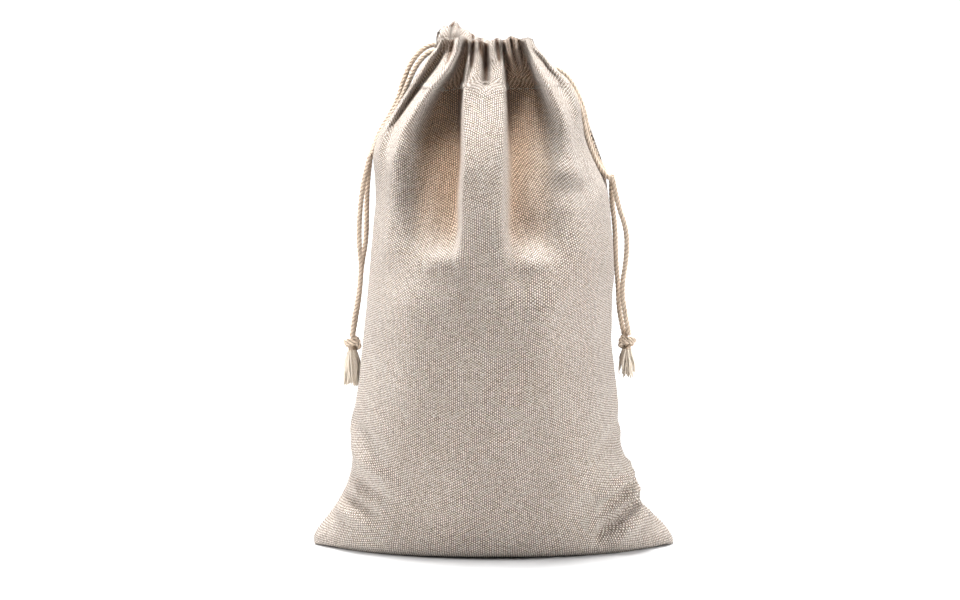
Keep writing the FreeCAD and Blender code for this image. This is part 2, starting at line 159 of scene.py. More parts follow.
# ---------------------------------------------------------------- materials
def cloth_material(name, hem=False):
    """Greige cotton-linen plain weave. The UV map is the flat cut in metres: u across (weft), v up (warp)."""
    t = Tree(name)
    uv = t.node("ShaderNodeUVMap", uv_map="flat").outputs[0]
    split = t.node("ShaderNodeSeparateXYZ")
    t.links.new(uv, split.inputs[0])
    # threads wander a little
    drift_u = t.math("MULTIPLY", t.math("SUBTRACT", t.noise(uv, 90.0, 3.0), 0.5), 0.0011)
    drift_v = t.math("MULTIPLY", t.math("SUBTRACT", t.noise(t.combine(split.outputs[1], split.outputs[0], 3.3), 90.0, 3.0), 0.5), 0.0013)
    across = t.math("DIVIDE", t.math("ADD", split.outputs[0], drift_u), 0.00084)
    up = t.math("DIVIDE", t.math("ADD", split.outputs[1], drift_v), 0.00053)
    fa, fu = t.math("FRACT", across), t.math("FRACT", up)
    ia, iu = t.math("FLOOR", across), t.math("FLOOR", up)
    parity = t.math("FLOORED_MODULO", t.math("ADD", ia, iu), 2.0)
    wave_a = t.math("SINE", t.math("MULTIPLY", fa, math.pi))  # 1 in the middle of an upright thread
    wave_u = t.math("SINE", t.math("MULTIPLY", fu, math.pi))
    # an upright thread on top: narrow across, long up; a level thread on top: the other way
    warp = t.math("MULTIPLY", t.math("POWER", wave_a, 0.9), t.math("POWER", wave_u, 0.45))
    weft = t.math("MULTIPLY", t.math("POWER", wave_u, 0.9), t.math("POWER", wave_a, 0.45))
    height = t.math("ADD", t.math("MULTIPLY", warp, t.math("SUBTRACT", 1.0, parity)), t.math("MULTIPLY", weft, parity))
    # every thread has its own tone and thick places
    tone_warp = t.noise(t.combine(t.math("MULTIPLY", ia, 7.31), t.math("MULTIPLY", up, 0.055), 1.7), 1.0, 2.0)
    tone_weft = t.noise(t.combine(t.math("MULTIPLY", across, 0.045), t.math("MULTIPLY", iu, 5.17), 9.2), 1.0, 2.0)
    tone = t.math("ADD", t.math("MULTIPLY", tone_warp, t.math("SUBTRACT", 1.0, parity)), t.math("MULTIPLY", tone_weft, parity))
    # fibre flecks, short along the thread
    fleck_warp = t.noise(t.combine(t.math("MULTIPLY", across, 1.0), t.math("MULTIPLY", up, 0.45), 4.0), 0.9, 3.0, 0.7)
    fleck_weft = t.noise(t.combine(t.math("MULTIPLY", across, 0.4), t.math("MULTIPLY", up, 1.1), 8.0), 0.9, 3.0, 0.7)
    fleck = t.math("ADD", t.math("MULTIPLY", fleck_warp, t.math("SUBTRACT", 1.0, parity)), t.math("MULTIPLY", fleck_weft, parity))
    dark_fleck = t.ramp(fleck, 0.62, 0.74)
    light_fleck = t.ramp(fleck, 0.40, 0.27)
    seed = t.node("ShaderNodeTexVoronoi", feature="F1")
    t.wire(uv, seed.inputs["Vector"])
    seed.inputs["Scale"].default_value = 260.0
    speck = t.math(
        "MULTIPLY",
        t.ramp(seed.outputs["Distance"], 0.12, 0.07),
        t.ramp(t.noise(uv, 41.0, 1.0), 0.60, 0.66),
    )
    patch = t.noise(uv, 24.0, 3.0)
    base = t.mix(t.ramp(tone, 0.25, 0.75), (0.93, 0.81, 0.71), (1.0, 0.93, 0.85))
    float_tone = t.noise(t.combine(t.math("MULTIPLY", ia, 3.71), t.math("MULTIPLY", iu, 5.13), 2.2), 1.0, 1.0)
    shade = t.math("ADD", t.math("MULTIPLY", parity, 0.78), t.math("MULTIPLY", t.math("SUBTRACT", float_tone, 0.48), 1.4), clamp=True)
    base = t.mix(shade, base, (0.27, 0.215, 0.172), "MULTIPLY")
    base = t.mix(t.math("MULTIPLY", t.ramp(patch, 0.35, 0.7), 0.16), base, (0.58, 0.52, 0.47))
    base = t.mix(t.math("MULTIPLY", light_fleck, 0.35), base, (0.88, 0.84, 0.79))
    base = t.mix(t.math("MULTIPLY", dark_fleck, 0.35), base, (0.40, 0.32, 0.26))
    base = t.mix(t.math("MULTIPLY", speck, 0.85), base, (0.06, 0.045, 0.035))
    thick = t.math("MULTIPLY", t.math("SUBTRACT", t.noise(t.combine(t.math("MULTIPLY", across, 1.0), t.math("MULTIPLY", up, 0.8), 6.0), 0.8, 2.0), 0.5), 0.65)
    # painted shade: where the threads fall away between one another (low height, or low between upright threads) the
    # colour goes nearly black
    base = t.mix(t.ramp(t.math("ADD", height, thick), 0.14, 0.60), (0.10, 0.076, 0.06), base)
    base = t.mix(t.ramp(t.math("ADD", wave_a, thick), 0.06, 0.50), (0.08, 0.06, 0.048), base)
    # painted shade: the deeper a place lies in a fold valley (fold attribute), the darker and warmer its colour,
    # standing in for the light that the cloth bounces onto itself there
    fold = t.node("ShaderNodeAttribute", attribute_name="fold").outputs["Fac"]
    base = t.mix(t.math("MULTIPLY", t.ramp(fold, 0.10, 0.85), 0.9), base, (0.92, 0.73, 0.57), "MULTIPLY")
    # painted shade: the turned-over hem and the seam allowances are mixed 10% toward a darker brown, so the doubled
    # cloth reads darker
    if hem:
        base = t.mix(0.10, base, (0.45, 0.40, 0.35))
    # painted shade: the narrow gaps between the small pleats and the deep places of the folds (gap attribute) are
    # darkened toward brown
    gap = t.node("ShaderNodeAttribute", attribute_name="gap").outputs["Fac"]
    base = t.mix(t.ramp(gap, 0.16, 1.1), base, (0.42, 0.30, 0.22), "MULTIPLY")
    t.links.new(base, t.shader.inputs["Base Color"])
    rough = t.ramp(height, 0.0, 1.0, 0.97, 0.86)
    t.links.new(rough, t.shader.inputs["Roughness"])
    relief = t.math("ADD", height, t.math("MULTIPLY", tone, 0.6))
    bump = t.node("ShaderNodeBump")
    bump.inputs["Strength"].default_value = 0.85
    bump.inputs["Distance"].default_value = 0.00034
    t.links.new(relief, bump.inputs["Height"])
    t.links.new(bump.outputs[0], t.shader.inputs["Normal"])
    t.shader.inputs["Specular IOR Level"].default_value = 0.18
    t.shader.inputs["Sheen Weight"].default_value = 0.22
    t.shader.inputs["Sheen Roughness"].default_value = 0.45
    return t.material


def cord_material(name, light, dark, twist=1.0):
    """Cotton yarn: u runs round a ply, v along it, both in millimetres."""
    t = Tree(name)
    uv = t.node("ShaderNodeUVMap", uv_map="along").outputs[0]
    split = t.node("ShaderNodeSeparateXYZ")
    t.links.new(uv, split.inputs[0])
    slant = t.math("ADD", t.math("MULTIPLY", split.outputs[0], 2.4), t.math("MULTIPLY", split.outputs[1], 1.3 * twist))
    stripe = t.math("SINE", t.math("MULTIPLY", slant, 2 * math.pi))
    fibre = t.noise(t.combine(t.math("MULTIPLY", slant, 5.0), t.math("MULTIPLY", split.outputs[1], 0.5)), 1.0, 4.0, 0.65)
    patch = t.noise(t.combine(0.0, split.outputs[1], 2.0), 0.28, 2.0)
    rim = t.node("ShaderNodeAttribute", attribute_name="rim").outputs["Fac"]
    base = t.mix(t.ramp(fibre, 0.3, 0.7), dark, light)
    # painted shade: a dark helical band along each groove of the twist, where one ply meets the next
    base = t.mix(t.math("MULTIPLY", t.ramp(stripe, -0.2, -1.0), 0.45), base, tuple(c * 0.62 for c in dark))
    base = t.mix(t.math("MULTIPLY", t.ramp(patch, 0.4, 0.75), 0.25), base, tuple(c * 0.85 for c in dark))
    # painted shade: the side of each ply or yarn that turns in towards the core (low rim) is darkened
    base = t.mix(t.ramp(rim, 0.98, 0.62), base, tuple(c**1.5 * 0.46 for c in dark))
    t.links.new(base, t.shader.inputs["Base Color"])
    t.links.new(t.ramp(fibre, 0.2, 0.8, 0.95, 0.82), t.shader.inputs["Roughness"])
    bump = t.node("ShaderNodeBump")
    bump.inputs["Strength"].default_value = 0.7
    bump.inputs["Distance"].default_value = 0.00014
    t.links.new(t.math("ADD", stripe, t.math("MULTIPLY", fibre, 1.5)), bump.inputs["Height"])
    t.links.new(bump.outputs[0], t.shader.inputs["Normal"])
    t.shader.inputs["Specular IOR Level"].default_value = 0.2
    t.shader.inputs["Sheen Weight"].default_value = 0.3
    t.shader.inputs["Sheen Roughness"].default_value = 0.5
    return t.material


def floor_material():
    """White paper sweep, grey, whose material glows more towards the back: painted light, which also lights the bag
    from behind.
    """
    t = Tree("studio_floor")
    where = t.node("ShaderNodeTexCoord").outputs["Object"]
    split = t.node("ShaderNodeSeparateXYZ")
    t.links.new(where, split.inputs[0])
    grain = t.noise(where, 35.0, 3.0)
    t.links.new(t.mix(t.ramp(grain, 0.3, 0.7), (0.60, 0.60, 0.605), (0.63, 0.63, 0.635)), t.shader.inputs["Base Color"])
    t.shader.inputs["Roughness"].default_value = 0.9
    t.shader.inputs["Specular IOR Level"].default_value = 0.1
    t.shader.inputs["Emission Color"].default_value = (1.0, 1.0, 1.0, 1.0)
    # painted light: no glow up to 0.20 m behind the bag, rising to a strength of 0.85 at 0.75 m
    t.links.new(t.ramp(split.outputs[1], 0.20, 0.75, 0.0, 0.85), t.shader.inputs["Emission Strength"])
    return t.material


CLOTH = cloth_material("cotton_linen_weave")
HEM = cloth_material("cotton_linen_hem", hem=True)
CORD = cord_material("twisted_cotton", (0.99, 0.87, 0.735), (0.86, 0.66, 0.49))
YARN = cord_material("loose_cotton_yarn", (1.0, 0.93, 0.82), (0.96, 0.81, 0.64), twist=0.4)
THREAD = cord_material("sewing_thread", (0.66, 0.59, 0.51), (0.50, 0.43, 0.36))

profile = [(-3.0, 0.0), (1.6, 0.0)] + [(1.6 + 0.8 * math.sin(a), 0.8 - 0.8 * math.cos(a)) for a in np.linspace(0.1, math.pi / 2, 10)] + [(2.4, 3.2)]
floor = link(bpy.data.objects.new("floor", bpy.data.meshes.new("floor")))
floor.data.from_pydata(
    [(x, y, z) for y, z in profile for x in (-4.0, 4.0)], [], [(2 * k, 2 * k + 1, 2 * k + 3, 2 * k + 2) for k in range(len(profile) - 1)]
)
floor.data.polygons.foreach_set("use_smooth", [True] * len(floor.data.polygons))
floor.data.materials.append(floor_material())


# ---------------------------------------------------------------- mesh helpers
def mesh_object(name, verts, faces, material, smooth=True):
    mesh = bpy.data.meshes.new(name)
    mesh.from_pydata([tuple(v) for v in verts], [], faces)
    mesh.materials.append(material)
    if smooth:
        mesh.polygons.foreach_set("use_smooth", [True] * len(mesh.polygons))
    mesh.update()
    return link(bpy.data.objects.new(name, mesh))


def spline_points(points_mm):
    """The smooth line of a route: a NURBS spline with the route's points as its control points, read back as points in metres."""
    data = bpy.data.curves.new("route", "CURVE")
    data.dimensions = "3D"
    data.resolution_u = 16
    s = data.splines.new("NURBS")
    s.points.add(len(points_mm) - 1)
    for p, co in zip(s.points, points_mm):
        p.co = (co[0] * MM, co[1] * MM, co[2] * MM, 1.0)
    s.order_u = 3
    s.use_endpoint_u = True
    ob = link(bpy.data.objects.new("route", data))
    bpy.context.view_layer.update()
    mesh = bpy.data.meshes.new_from_object(ob)
    line = np.array([v.co[:] for v in mesh.vertices])
    bpy.data.objects.remove(ob)
    bpy.data.meshes.remove(mesh)
    return line


def even(line, step):
    """The same line with points at an even distance, only for building a tube's rings along it."""
    seg = np.linalg.norm(np.diff(line, axis=0), axis=1)
    along = np.concatenate([[0], np.cumsum(seg)])
    n = max(3, int(round(along[-1] / step)))
    at = np.linspace(0, along[-1], n + 1)
    return np.stack([np.interp(at, along, line[:, k]) for k in range(3)], 1), at


def frames_along(line):
    """Tangent and two normals at each point, carried along without twisting."""
    tan = np.gradient(line, axis=0)
    tan /= np.linalg.norm(tan, axis=1, keepdims=True)
    start = np.array([0.0, 1.0, 0.0]) if abs(tan[0][1]) < 0.9 else np.array([1.0, 0.0, 0.0])
    n1 = np.zeros_like(line)
    n1[0] = np.cross(tan[0], np.cross(start, tan[0]))
    n1[0] /= np.linalg.norm(n1[0])
    for k in range(1, len(line)):
        v = n1[k - 1] - tan[k] * np.dot(n1[k - 1], tan[k])
        n1[k] = v / np.linalg.norm(v)
    return tan, n1, np.cross(tan, n1)


def tube_mesh(line, radius, sides, verts, faces, uvs, v0=0.0):
    """Adds one closed tube round a line; radius may be one number or one per point."""
    tan, n1, n2 = frames_along(line)
    radius = np.broadcast_to(radius, (len(line),))
    first = len(verts)
    seg = np.concatenate([[0], np.cumsum(np.linalg.norm(np.diff(line, axis=0), axis=1))]) / MM + v0
    for k in range(len(line)):
        for q in range(sides):
            a = 2 * math.pi * q / sides
            verts.append(line[k] + radius[k] * (math.cos(a) * n1[k] + math.sin(a) * n2[k]))
    for k in range(len(line) - 1):
        for q in range(sides):
            r = (q + 1) % sides
            faces.append((first + k * sides + q, first + k * sides + r, first + (k + 1) * sides + r, first + (k + 1) * sides + q))
            ua, ub = 2 * math.pi * radius[k] / MM * q / sides, 2 * math.pi * radius[k] / MM * (q + 1) / sides
            uvs.append(((ua, seg[k]), (ub, seg[k]), (ub, seg[k + 1]), (ua, seg[k + 1])))
    faces.append(tuple(first + q for q in reversed(range(sides))))
    uvs.append(tuple((0.0, seg[0]) for _ in range(sides)))
    last = first + (len(line) - 1) * sides
    faces.append(tuple(last + q for q in range(sides)))
    uvs.append(tuple((0.0, seg[-1]) for _ in range(sides)))


def finish_tubes(name, verts, faces, uvs, material, rim=None):
    ob = mesh_object(name, verts, faces, material)
    # rim: per point, the distance from the cord's middle over its radius (1.0 where none is given); the cord material
    # paints shade where it is low
    groove = ob.data.attributes.new("rim", "FLOAT", "POINT")
    groove.data.foreach_set("value", np.array(rim if rim is not None else [1.0] * len(verts), np.float32))
    layer = ob.data.uv_layers.new(name="along")
    flat = [c for face in uvs for uv in face for c in uv]
    layer.data.foreach_set("uv", flat)
    return ob


def rope_lines(line, radius, pitch, phase=0.0, plies=3, swell=None):
    """The centrelines of a cord's twisted plies."""
    tan, n1, n2 = frames_along(line)
    along = np.concatenate([[0], np.cumsum(np.linalg.norm(np.diff(line, axis=0), axis=1))])
    ply = radius / 2.155
    out = []
    for p in range(plies):
        a = phase + 2 * math.pi * (along / pitch + p / plies)
        r = ply * 1.155 * (1.0 if swell is None else swell)
        out.append(line + (np.cos(a) * r)[:, None] * n1 + (np.sin(a) * r)[:, None] * n2)
    return out, ply


def rope(name, points_mm, radius=1.14 * MM, pitch=5.2 * MM, phase=0.0, step=0.42 * MM, material=None):
    """A three-ply cord along its route. Returns the piece and its smooth centreline."""
    centre = spline_points(points_mm)
    line, _ = even(centre, step)
    plies, ply = rope_lines(line, radius, pitch, phase)
    verts, faces, uvs, rim = [], [], [], []
    for k, p in enumerate(plies):
        first = len(verts)
        tube_mesh(p, ply * 1.03, 10, verts, faces, uvs, v0=17.0 * k)
        rim += [float(np.linalg.norm(v - line[q // 10])) / radius for q, v in enumerate(verts[first:])]
    return finish_tubes(name, verts, faces, uvs, material or CORD, rim), centre


# ---------------------------------------------------------------- the cloth's shape
NX, NZ = 156, 180  # cells across one face, and from the base fold to the rim
WIDE, TALL = 152.0, 246.0
CASING = 21.5
SLIT_LEFT, SLIT_RIGHT = 161.5, 152.5  # heights of the slit bottoms


def smooth_table(z, table, spread=1.6):
    """A smooth curve through a table of (z, value)."""
    zs, vs = zip(*table)
    grid = np.linspace(-30, 240, 1081)
    line = np.interp(grid, zs, vs)
    k = np.exp(-0.5 * (np.arange(-40, 41) * 0.25 / spread) ** 2)
    line = np.convolve(np.pad(line, 40, mode="edge"), k / k.sum(), "valid")
    return np.interp(z, grid, line)


# half widths up the seams; above the slits the front and the back edges part
LOW_LEFT = [(0, 73.2), (2.5, 74.3), (5, 73.6), (8, 71.6), (13, 67.6), (18, 64.0), (23, 61.4), (27, 59.4), (32, 58.2), (38, 57.6), (43, 57.9), (48, 58.9), (53, 58.2), (58, 56.6), (68, 54.8), (83, 53.2), (102, 51.0), (122, 49.3), (142, 47.6), (152, 48.0)]
LOW_RIGHT = [(0, 74.2), (2.5, 74.8), (5, 73.2), (8, 71.4), (13, 66.6), (17, 61.2), (20, 59.8), (24, 60.5), (28, 59.0), (33, 56.2), (38, 54.0), (43, 52.0), (48, 52.8), (53, 50.9), (58, 51.6), (68, 50.4), (83, 48.2), (102, 48.2), (112, 48.9), (122, 48.2), (142, 47.3)]
EDGE = {
    (0, 0): LOW_LEFT + [(160, 48.9), (167, 47.6), (172, 45.2), (177, 41.6), (181, 38.8), (185, 36.4), (189.4, 33.4), (195, 30.0), (201.5, 25.6), (205.5, 22.3), (212, 19.5)],
    (1, 0): LOW_LEFT + [(160, 48.4), (167, 46.6), (172, 43.6), (177, 39.8), (181, 36.8), (185, 34.4), (189.4, 32.0), (195, 29.4), (201.5, 25.6), (206, 22.8), (212, 21.0)],
    (0, 1): LOW_RIGHT + [(147, 46.4), (152.5, 44.0), (160.6, 40.0), (167.7, 37.2), (175.5, 36.0), (181.3, 35.3), (186, 33.6), (189.6, 31.4), (195, 26.6), (199, 22.6), (203, 18.8), (207, 15.6), (212, 14.5)],
    (1, 1): LOW_RIGHT + [(152, 46.2), (157, 45.4), (162, 44.0), (167, 42.4), (172, 40.6), (177, 38.6), (182, 36.0), (187, 32.8), (192, 28.6), (197, 24.4), (202, 19.6), (207, 16.0), (212, 15.0)],
}
DEPTH = [(0, 25.5), (0.9, 29.5), (2.4, 32.0), (6, 33.6), (12, 34.8), (22, 36.6), (40, 39.0), (72, 41.0), (110, 42.0), (138, 40.4), (157, 36.5), (167, 32.5), (177, 26.5), (187, 20.0), (197, 15.4), (208, 13.2)]
POINTED = [(0, 1.5), (12, 1.3), (30, 1.12), (60, 1.0), (150, 0.95), (187, 0.80), (208, 0.75)]
GAP = [(150, 0.5), (160, 1.8), (172, 3.4), (184, 5.2), (192, 5.4), (212, 5.4)]  # half the slit's opening at a flap's edge
LEAST = [(60, 0.0), (120, 10.0), (160, 9.0), (178, 5.6), (212, 5.2)]  # the deepest a fold goes in


# The folds, drawn on a front view with 0.41 mm per unit, x from 493 and z down from 548.
# Each line runs down the cloth; x places at the heights in ROWS, then how far it stands out (+) or in (-), in mm.
ROWS = [44, 60, 78, 95, 115, 140, 170, 205, 245, 272, 305, 350]
FOLDS = {
    0: [
        ([441, 434, 421, 408, 396, 384, 378, 375, 373, 372, 372, 372], [1.5, 2.0, 2.5, 3.0, 3.0, 2.0, 1.0, 0.4, 0.0, 0.0, 0.0, 0.0]),
        ([450, 445, 431, 420, 407, 394, 387, 383, 380, 379, 379, 379], [-3.0, -4.5, -5.5, -6.0, -5.5, -3.4, -0.8, 0.0, 0.0, 0.0, 0.0, 0.0]),
        ([461, 458, 447, 433, 419, 404, 396, 392, 390, 390, 390, 390], [3.0, 4.0, 5.0, 6.0, 6.0, 5.0, 3.8, 2.6, 1.4, 0.6, 0.0, 0.0]),
        ([466, 465, 460, 449, 440, 434, 431, 429, 429, 429, 430, 430], [-3.0, -5.0, -8.0, -10.0, -11.0, -10.5, -9.4, -8.0, -4.0, 0.4, 1.6, 0.0]),
        ([467, 468, 463.5, 460, 459, 459, 459, 457, 455, 455, 455, 455], [-4.0, -6.5, -10.0, -13.0, -14.5, -14.0, -12.6, -10.0, -4.8, 0.2, 1.6, 0.0]),
        ([470, 471, 468, 465.5, 465, 465.3, 465.5, 464, 462, 462, 462, 462], [0.5, 1.5, 3.0, 4.5, 5.0, 5.0, 4.2, 2.4, 1.0, 0.6, 0.2, 0.0]),
        ([500, 500, 501.5, 502.5, 502.8, 502, 501, 500, 499, 499, 499, 499], [0.5, 1.5, 3.0, 4.5, 5.0, 5.0, 4.2, 2.4, 1.0, 0.6, 0.2, 0.0]),
        ([503, 504, 507, 508.5, 509.5, 510, 511, 511, 511, 511, 511, 511], [-3.0, -5.5, -9.0, -12.0, -13.5, -12.5, -11.0, -9.0, -5.2, -1.0, 1.6, 0.0]),
        ([515, 520, 526, 531, 535, 538, 540, 539, 538, 538, 538, 538], [-4.0, -6.0, -9.0, -10.0, -9.4, -7.4, -6.6, -6.2, -4.0, -0.4, 1.7, 0.0]),
        ([523, 528, 537, 547, 557, 566, 570, 572, 573, 573, 573, 573], [2.5, 3.5, 4.5, 5.0, 4.8, 3.8, 2.7, 1.6, 0.9, 0.5, 0.0, 0.0]),
        ([531, 536, 547, 560, 569, 575, 582, 589, 592, 594, 595, 595], [-2.5, -2.8, -2.4, -1.8, -1.2, -0.5, 0.0, 0.0, 0.0, 0.0, 0.0, 0.0]),
    ],
    1: [
        ([440, 433, 421, 409, 396, 385, 380, 376, 374, 373, 373, 373], [2.0, 2.5, 3.0, 3.0, 2.6, 2.0, 1.0, 0.5, 0.0, 0.0, 0.0, 0.0]),
        ([448, 444, 435, 424, 412, 401, 394, 390, 388, 387, 387, 387], [-3.0, -4.0, -6.0, -7.0, -6.6, -4.6, -3.0, -1.2, 0.0, 0.0, 0.0, 0.0]),
        ([457, 454, 447, 440, 432, 424, 418, 414, 412, 411, 411, 411], [3.0, 3.5, 4.5, 5.0, 5.0, 4.4, 3.4, 2.0, 0.8, 0.3, 0.0, 0.0]),
        ([466, 464, 461, 457, 453, 450, 447, 445, 444, 443, 443, 443], [-4.0, -5.0, -8.0, -10.0, -10.0, -8.4, -6.0, -3.0, -1.0, -0.4, 0.0, 0.0]),
        ([476, 477, 478, 479, 480, 480, 480, 480, 480, 480, 480, 480], [2.0, 3.0, 4.0, 4.6, 5.0, 5.0, 4.2, 2.6, 1.0, 0.4, 0.0, 0.0]),
        ([487, 489, 493, 497, 500, 502, 503, 504, 504, 504, 504, 504], [-4.0, -5.0, -8.0, -10.0, -11.0, -9.0, -6.2, -3.4, -1.0, -0.4, 0.0, 0.0]),
        ([498, 501, 507, 513, 519, 524, 527, 529, 530, 530, 530, 530], [2.0, 3.0, 4.0, 4.6, 4.8, 4.4, 3.2, 1.8, 0.6, 0.2, 0.0, 0.0]),
        ([508, 512, 521, 531, 540, 547, 551, 553, 554, 554, 554, 554], [-4.0, -5.0, -7.0, -8.0, -7.6, -5.4, -3.0, -1.4, 0.0, 0.0, 0.0, 0.0]),
        ([518, 523, 535, 548, 560, 570, 576, 580, 582, 583, 583, 583], [2.5, 3.0, 3.8, 4.0, 3.8, 2.8, 1.6, 0.8, 0.0, 0.0, 0.0, 0.0]),
        ([527, 533, 545, 558, 570, 580, 586, 590, 592, 593, 593, 593], [-3.0, -3.0, -2.6, -2.2, -1.4, -0.8, 0.0, 0.0, 0.0, 0.0, 0.0, 0.0]),
    ],
}
# small pleats close to the cord: points (x, down, strength), width and height in mm
PLEATS = {
    0: [
        ([(445, 40, 1), (440, 60, 1), (434, 72, 0.0)], 0.8, -3.0),
        ([(455, 40, 1), (452, 58, 1), (447, 74, 0.4), (442, 88, 0)], 0.8, -4.0),
        ([(474, 40, 1), (473, 60, 1), (471.5, 75, 0.7), (469, 92, 0)], 0.75, -5.0),
        ([(479.4, 40, 1), (480.6, 58, 1), (483, 72, 0)], 0.7, -4.2),
        ([(485, 40, 1), (486, 58, 0.9), (486, 74, 1.1), (486, 86, 1.1), (486.4, 94, 0.4), (486.5, 98, 0)], 1.05, -6.5),
        ([(486, 66, 0), (486, 78, 0.8), (486, 88, 1), (486.4, 95, 0)], 2.6, -3.4),
        ([(495.6, 40, 1), (497.5, 58, 1), (499.5, 72, 0.4), (501, 82, 0)], 0.75, -4.6),
        ([(505, 40, 1), (508, 58, 1), (512, 74, 0.6), (515, 88, 0)], 1.0, 5.4),
        ([(512, 40, 0.8), (515, 58, 1), (519, 74, 0.5), (523, 90, 0)], 0.9, 4.8),
        ([(527, 40, 1), (532, 58, 0.8), (538, 70, 0)], 0.9, -1.6),
    ],
    1: [
        ([(436, 40, 1), (431, 60, 0.8), (424, 76, 0)], 0.9, -2.0),
        ([(452, 40, 1), (449, 60, 0.8), (443, 80, 0)], 0.9, -2.6),
        ([(461, 40, 1), (459, 60, 0.8), (455, 82, 0)], 0.9, -2.6),
        ([(471, 40, 1), (471, 60, 0.9), (471, 84, 0)], 0.9, -3.0),
        ([(481, 40, 1), (483, 60, 0.9), (485, 84, 0)], 0.9, -3.0),
        ([(493, 40, 1), (496, 60, 0.8), (500, 84, 0)], 0.9, -3.0),
        ([(503, 40, 1), (507, 60, 0.8), (513, 82, 0)], 0.9, -2.6),
        ([(513, 40, 1), (518, 60, 0.8), (526, 80, 0)], 0.9, -2.6),
        ([(523, 40, 1), (528, 60, 0.6), (536, 74, 0)], 0.9, -2.0),
    ],
}
# creases in the lower body, (x, down, strength)
CREASES = {
    0: [
        ([(424, 230, 0), (421, 290, 1), (420, 360, 0.7), (425, 420, 0)], 9.0, 1.2),
        ([(534, 250, 0), (540, 320, 1), (545, 400, 0.6), (548, 450, 0)], 10.0, 1.2),
        ([(352, 446, 0.4), (366, 462, 1), (384, 474, 0.6), (402, 482, 0)], 3.0, 1.6),
        ([(345, 474, 0.6), (360, 484, 1), (378, 494, 0.6), (396, 500, 0)], 2.4, -1.8),
        ([(338, 497, 0.6), (350, 503, 1), (364, 509, 0.8), (384, 514, 0)], 1.9, -2.4),
        ([(334, 508, 0.6), (348, 513, 1), (364, 520, 0.6), (380, 526, 0)], 2.6, 1.7),
        ([(640, 462, 0.6), (626, 478, 1), (610, 492, 0.6), (594, 500, 0)], 2.6, 1.9),
        ([(637, 482, 0.7), (624, 491, 1), (610, 501, 0.7), (597, 512, 0)], 2.0, -2.6),
        ([(641, 490, 0.7), (630, 498, 1), (618, 510, 0.6), (606, 520, 0)], 2.4, 2.0),
        ([(640, 501, 0.8), (626, 510, 1), (611, 522, 0.9), (598, 534, 0.5), (590, 546, 0)], 2.1, -2.8),
        ([(652, 512, 0.7), (640, 519, 1), (624, 530, 0.8), (610, 542, 0)], 2.8, 2.0),
        ([(628, 424, 0.6), (612, 440, 1), (596, 452, 0.4), (584, 458, 0)], 3.0, -1.5),
        ([(352, 420, 0.6), (366, 434, 1), (380, 446, 0.4), (396, 452, 0)], 3.0, -1.4),
    ],
    1: [
        ([(352, 446, 0.4), (370, 462, 1), (390, 478, 0.6), (412, 486, 0)], 3.0, 1.8),
        ([(341, 482, 0.6), (360, 492, 1), (380, 502, 0.6), (400, 508, 0)], 2.4, -2.6),
        ([(640, 462, 0.6), (622, 478, 1), (604, 492, 0.6), (586, 500, 0)], 2.8, 1.8),
        ([(641, 488, 0.7), (626, 498, 1), (608, 510, 0.7), (590, 518, 0)], 2.4, -2.8),
        ([(430, 230, 0), (436, 300, 1), (440, 380, 0.6), (440, 430, 0)], 9.0, 1.3),
        ([(540, 240, 0), (536, 310, 1), (530, 380, 0.6), (528, 430, 0)], 9.0, 1.3),
    ],
}


# soft swells at the feet of the valleys: across, down, half width and half height in mm, and how far out
SWELLS = {
    0: [
        (447, 264, 7.0, 4.2, 2.6), (447, 232, 6.0, 8.0, -1.8), (527, 266, 7.5, 4.4, 2.6), (526, 234, 6.5, 8.0, -1.8),
        (483, 300, 8.0, 14.0, -1.0), (398, 252, 7.0, 8.0, 1.2), (574, 250, 7.0, 8.0, 1.2), (560, 176, 6.0, 4.0, 1.1), (572, 196, 6.0, 3.4, -1.3),
    ],
    1: [(446, 258, 7.0, 5.0, 2.0), (520, 262, 7.0, 5.0, 2.0)],
}


LUMPS = {
    f: [(rng.uniform(-48, 48), rng.uniform(8, 132), rng.uniform(7, 15), rng.choice((-1, 1)) * rng.uniform(0.5, 1.2)) for _ in range(34)] for f in (0, 1)
}


def down_of(z, depth):
    return 548.0 - (z - 0.122 * depth) / 0.413


def line_field(x, down, line, width, amount):
    """A ridge or valley along a drawn line; the third number of each point scales it."""
    pts = np.array(line, float)
    if abs(pts[-1, 0] - pts[0, 0]) > abs(pts[-1, 1] - pts[0, 1]) * 1.1:  # runs more across than down
        pts = pts[np.argsort(pts[:, 0])]
        cy = np.interp(x, pts[:, 0], pts[:, 1])
        g = np.interp(x, pts[:, 0], pts[:, 2], left=0.0, right=0.0)
        slope = np.interp(x, pts[:, 0], np.gradient(pts[:, 1], pts[:, 0]))
        d = (down - cy) * 0.413
    else:
        cx = np.interp(down, pts[:, 1], pts[:, 0])
        g = np.interp(down, pts[:, 1], pts[:, 2], left=pts[0, 2] if pts[0, 1] < 50 else 0.0, right=0.0)
        slope = np.interp(down, pts[:, 1], np.gradient(pts[:, 0], pts[:, 1]))
        d = (x - cx) * 0.41
    d = d / np.sqrt(1 + slope**2)
    return amount * g * np.exp(-((d / width) ** 2))


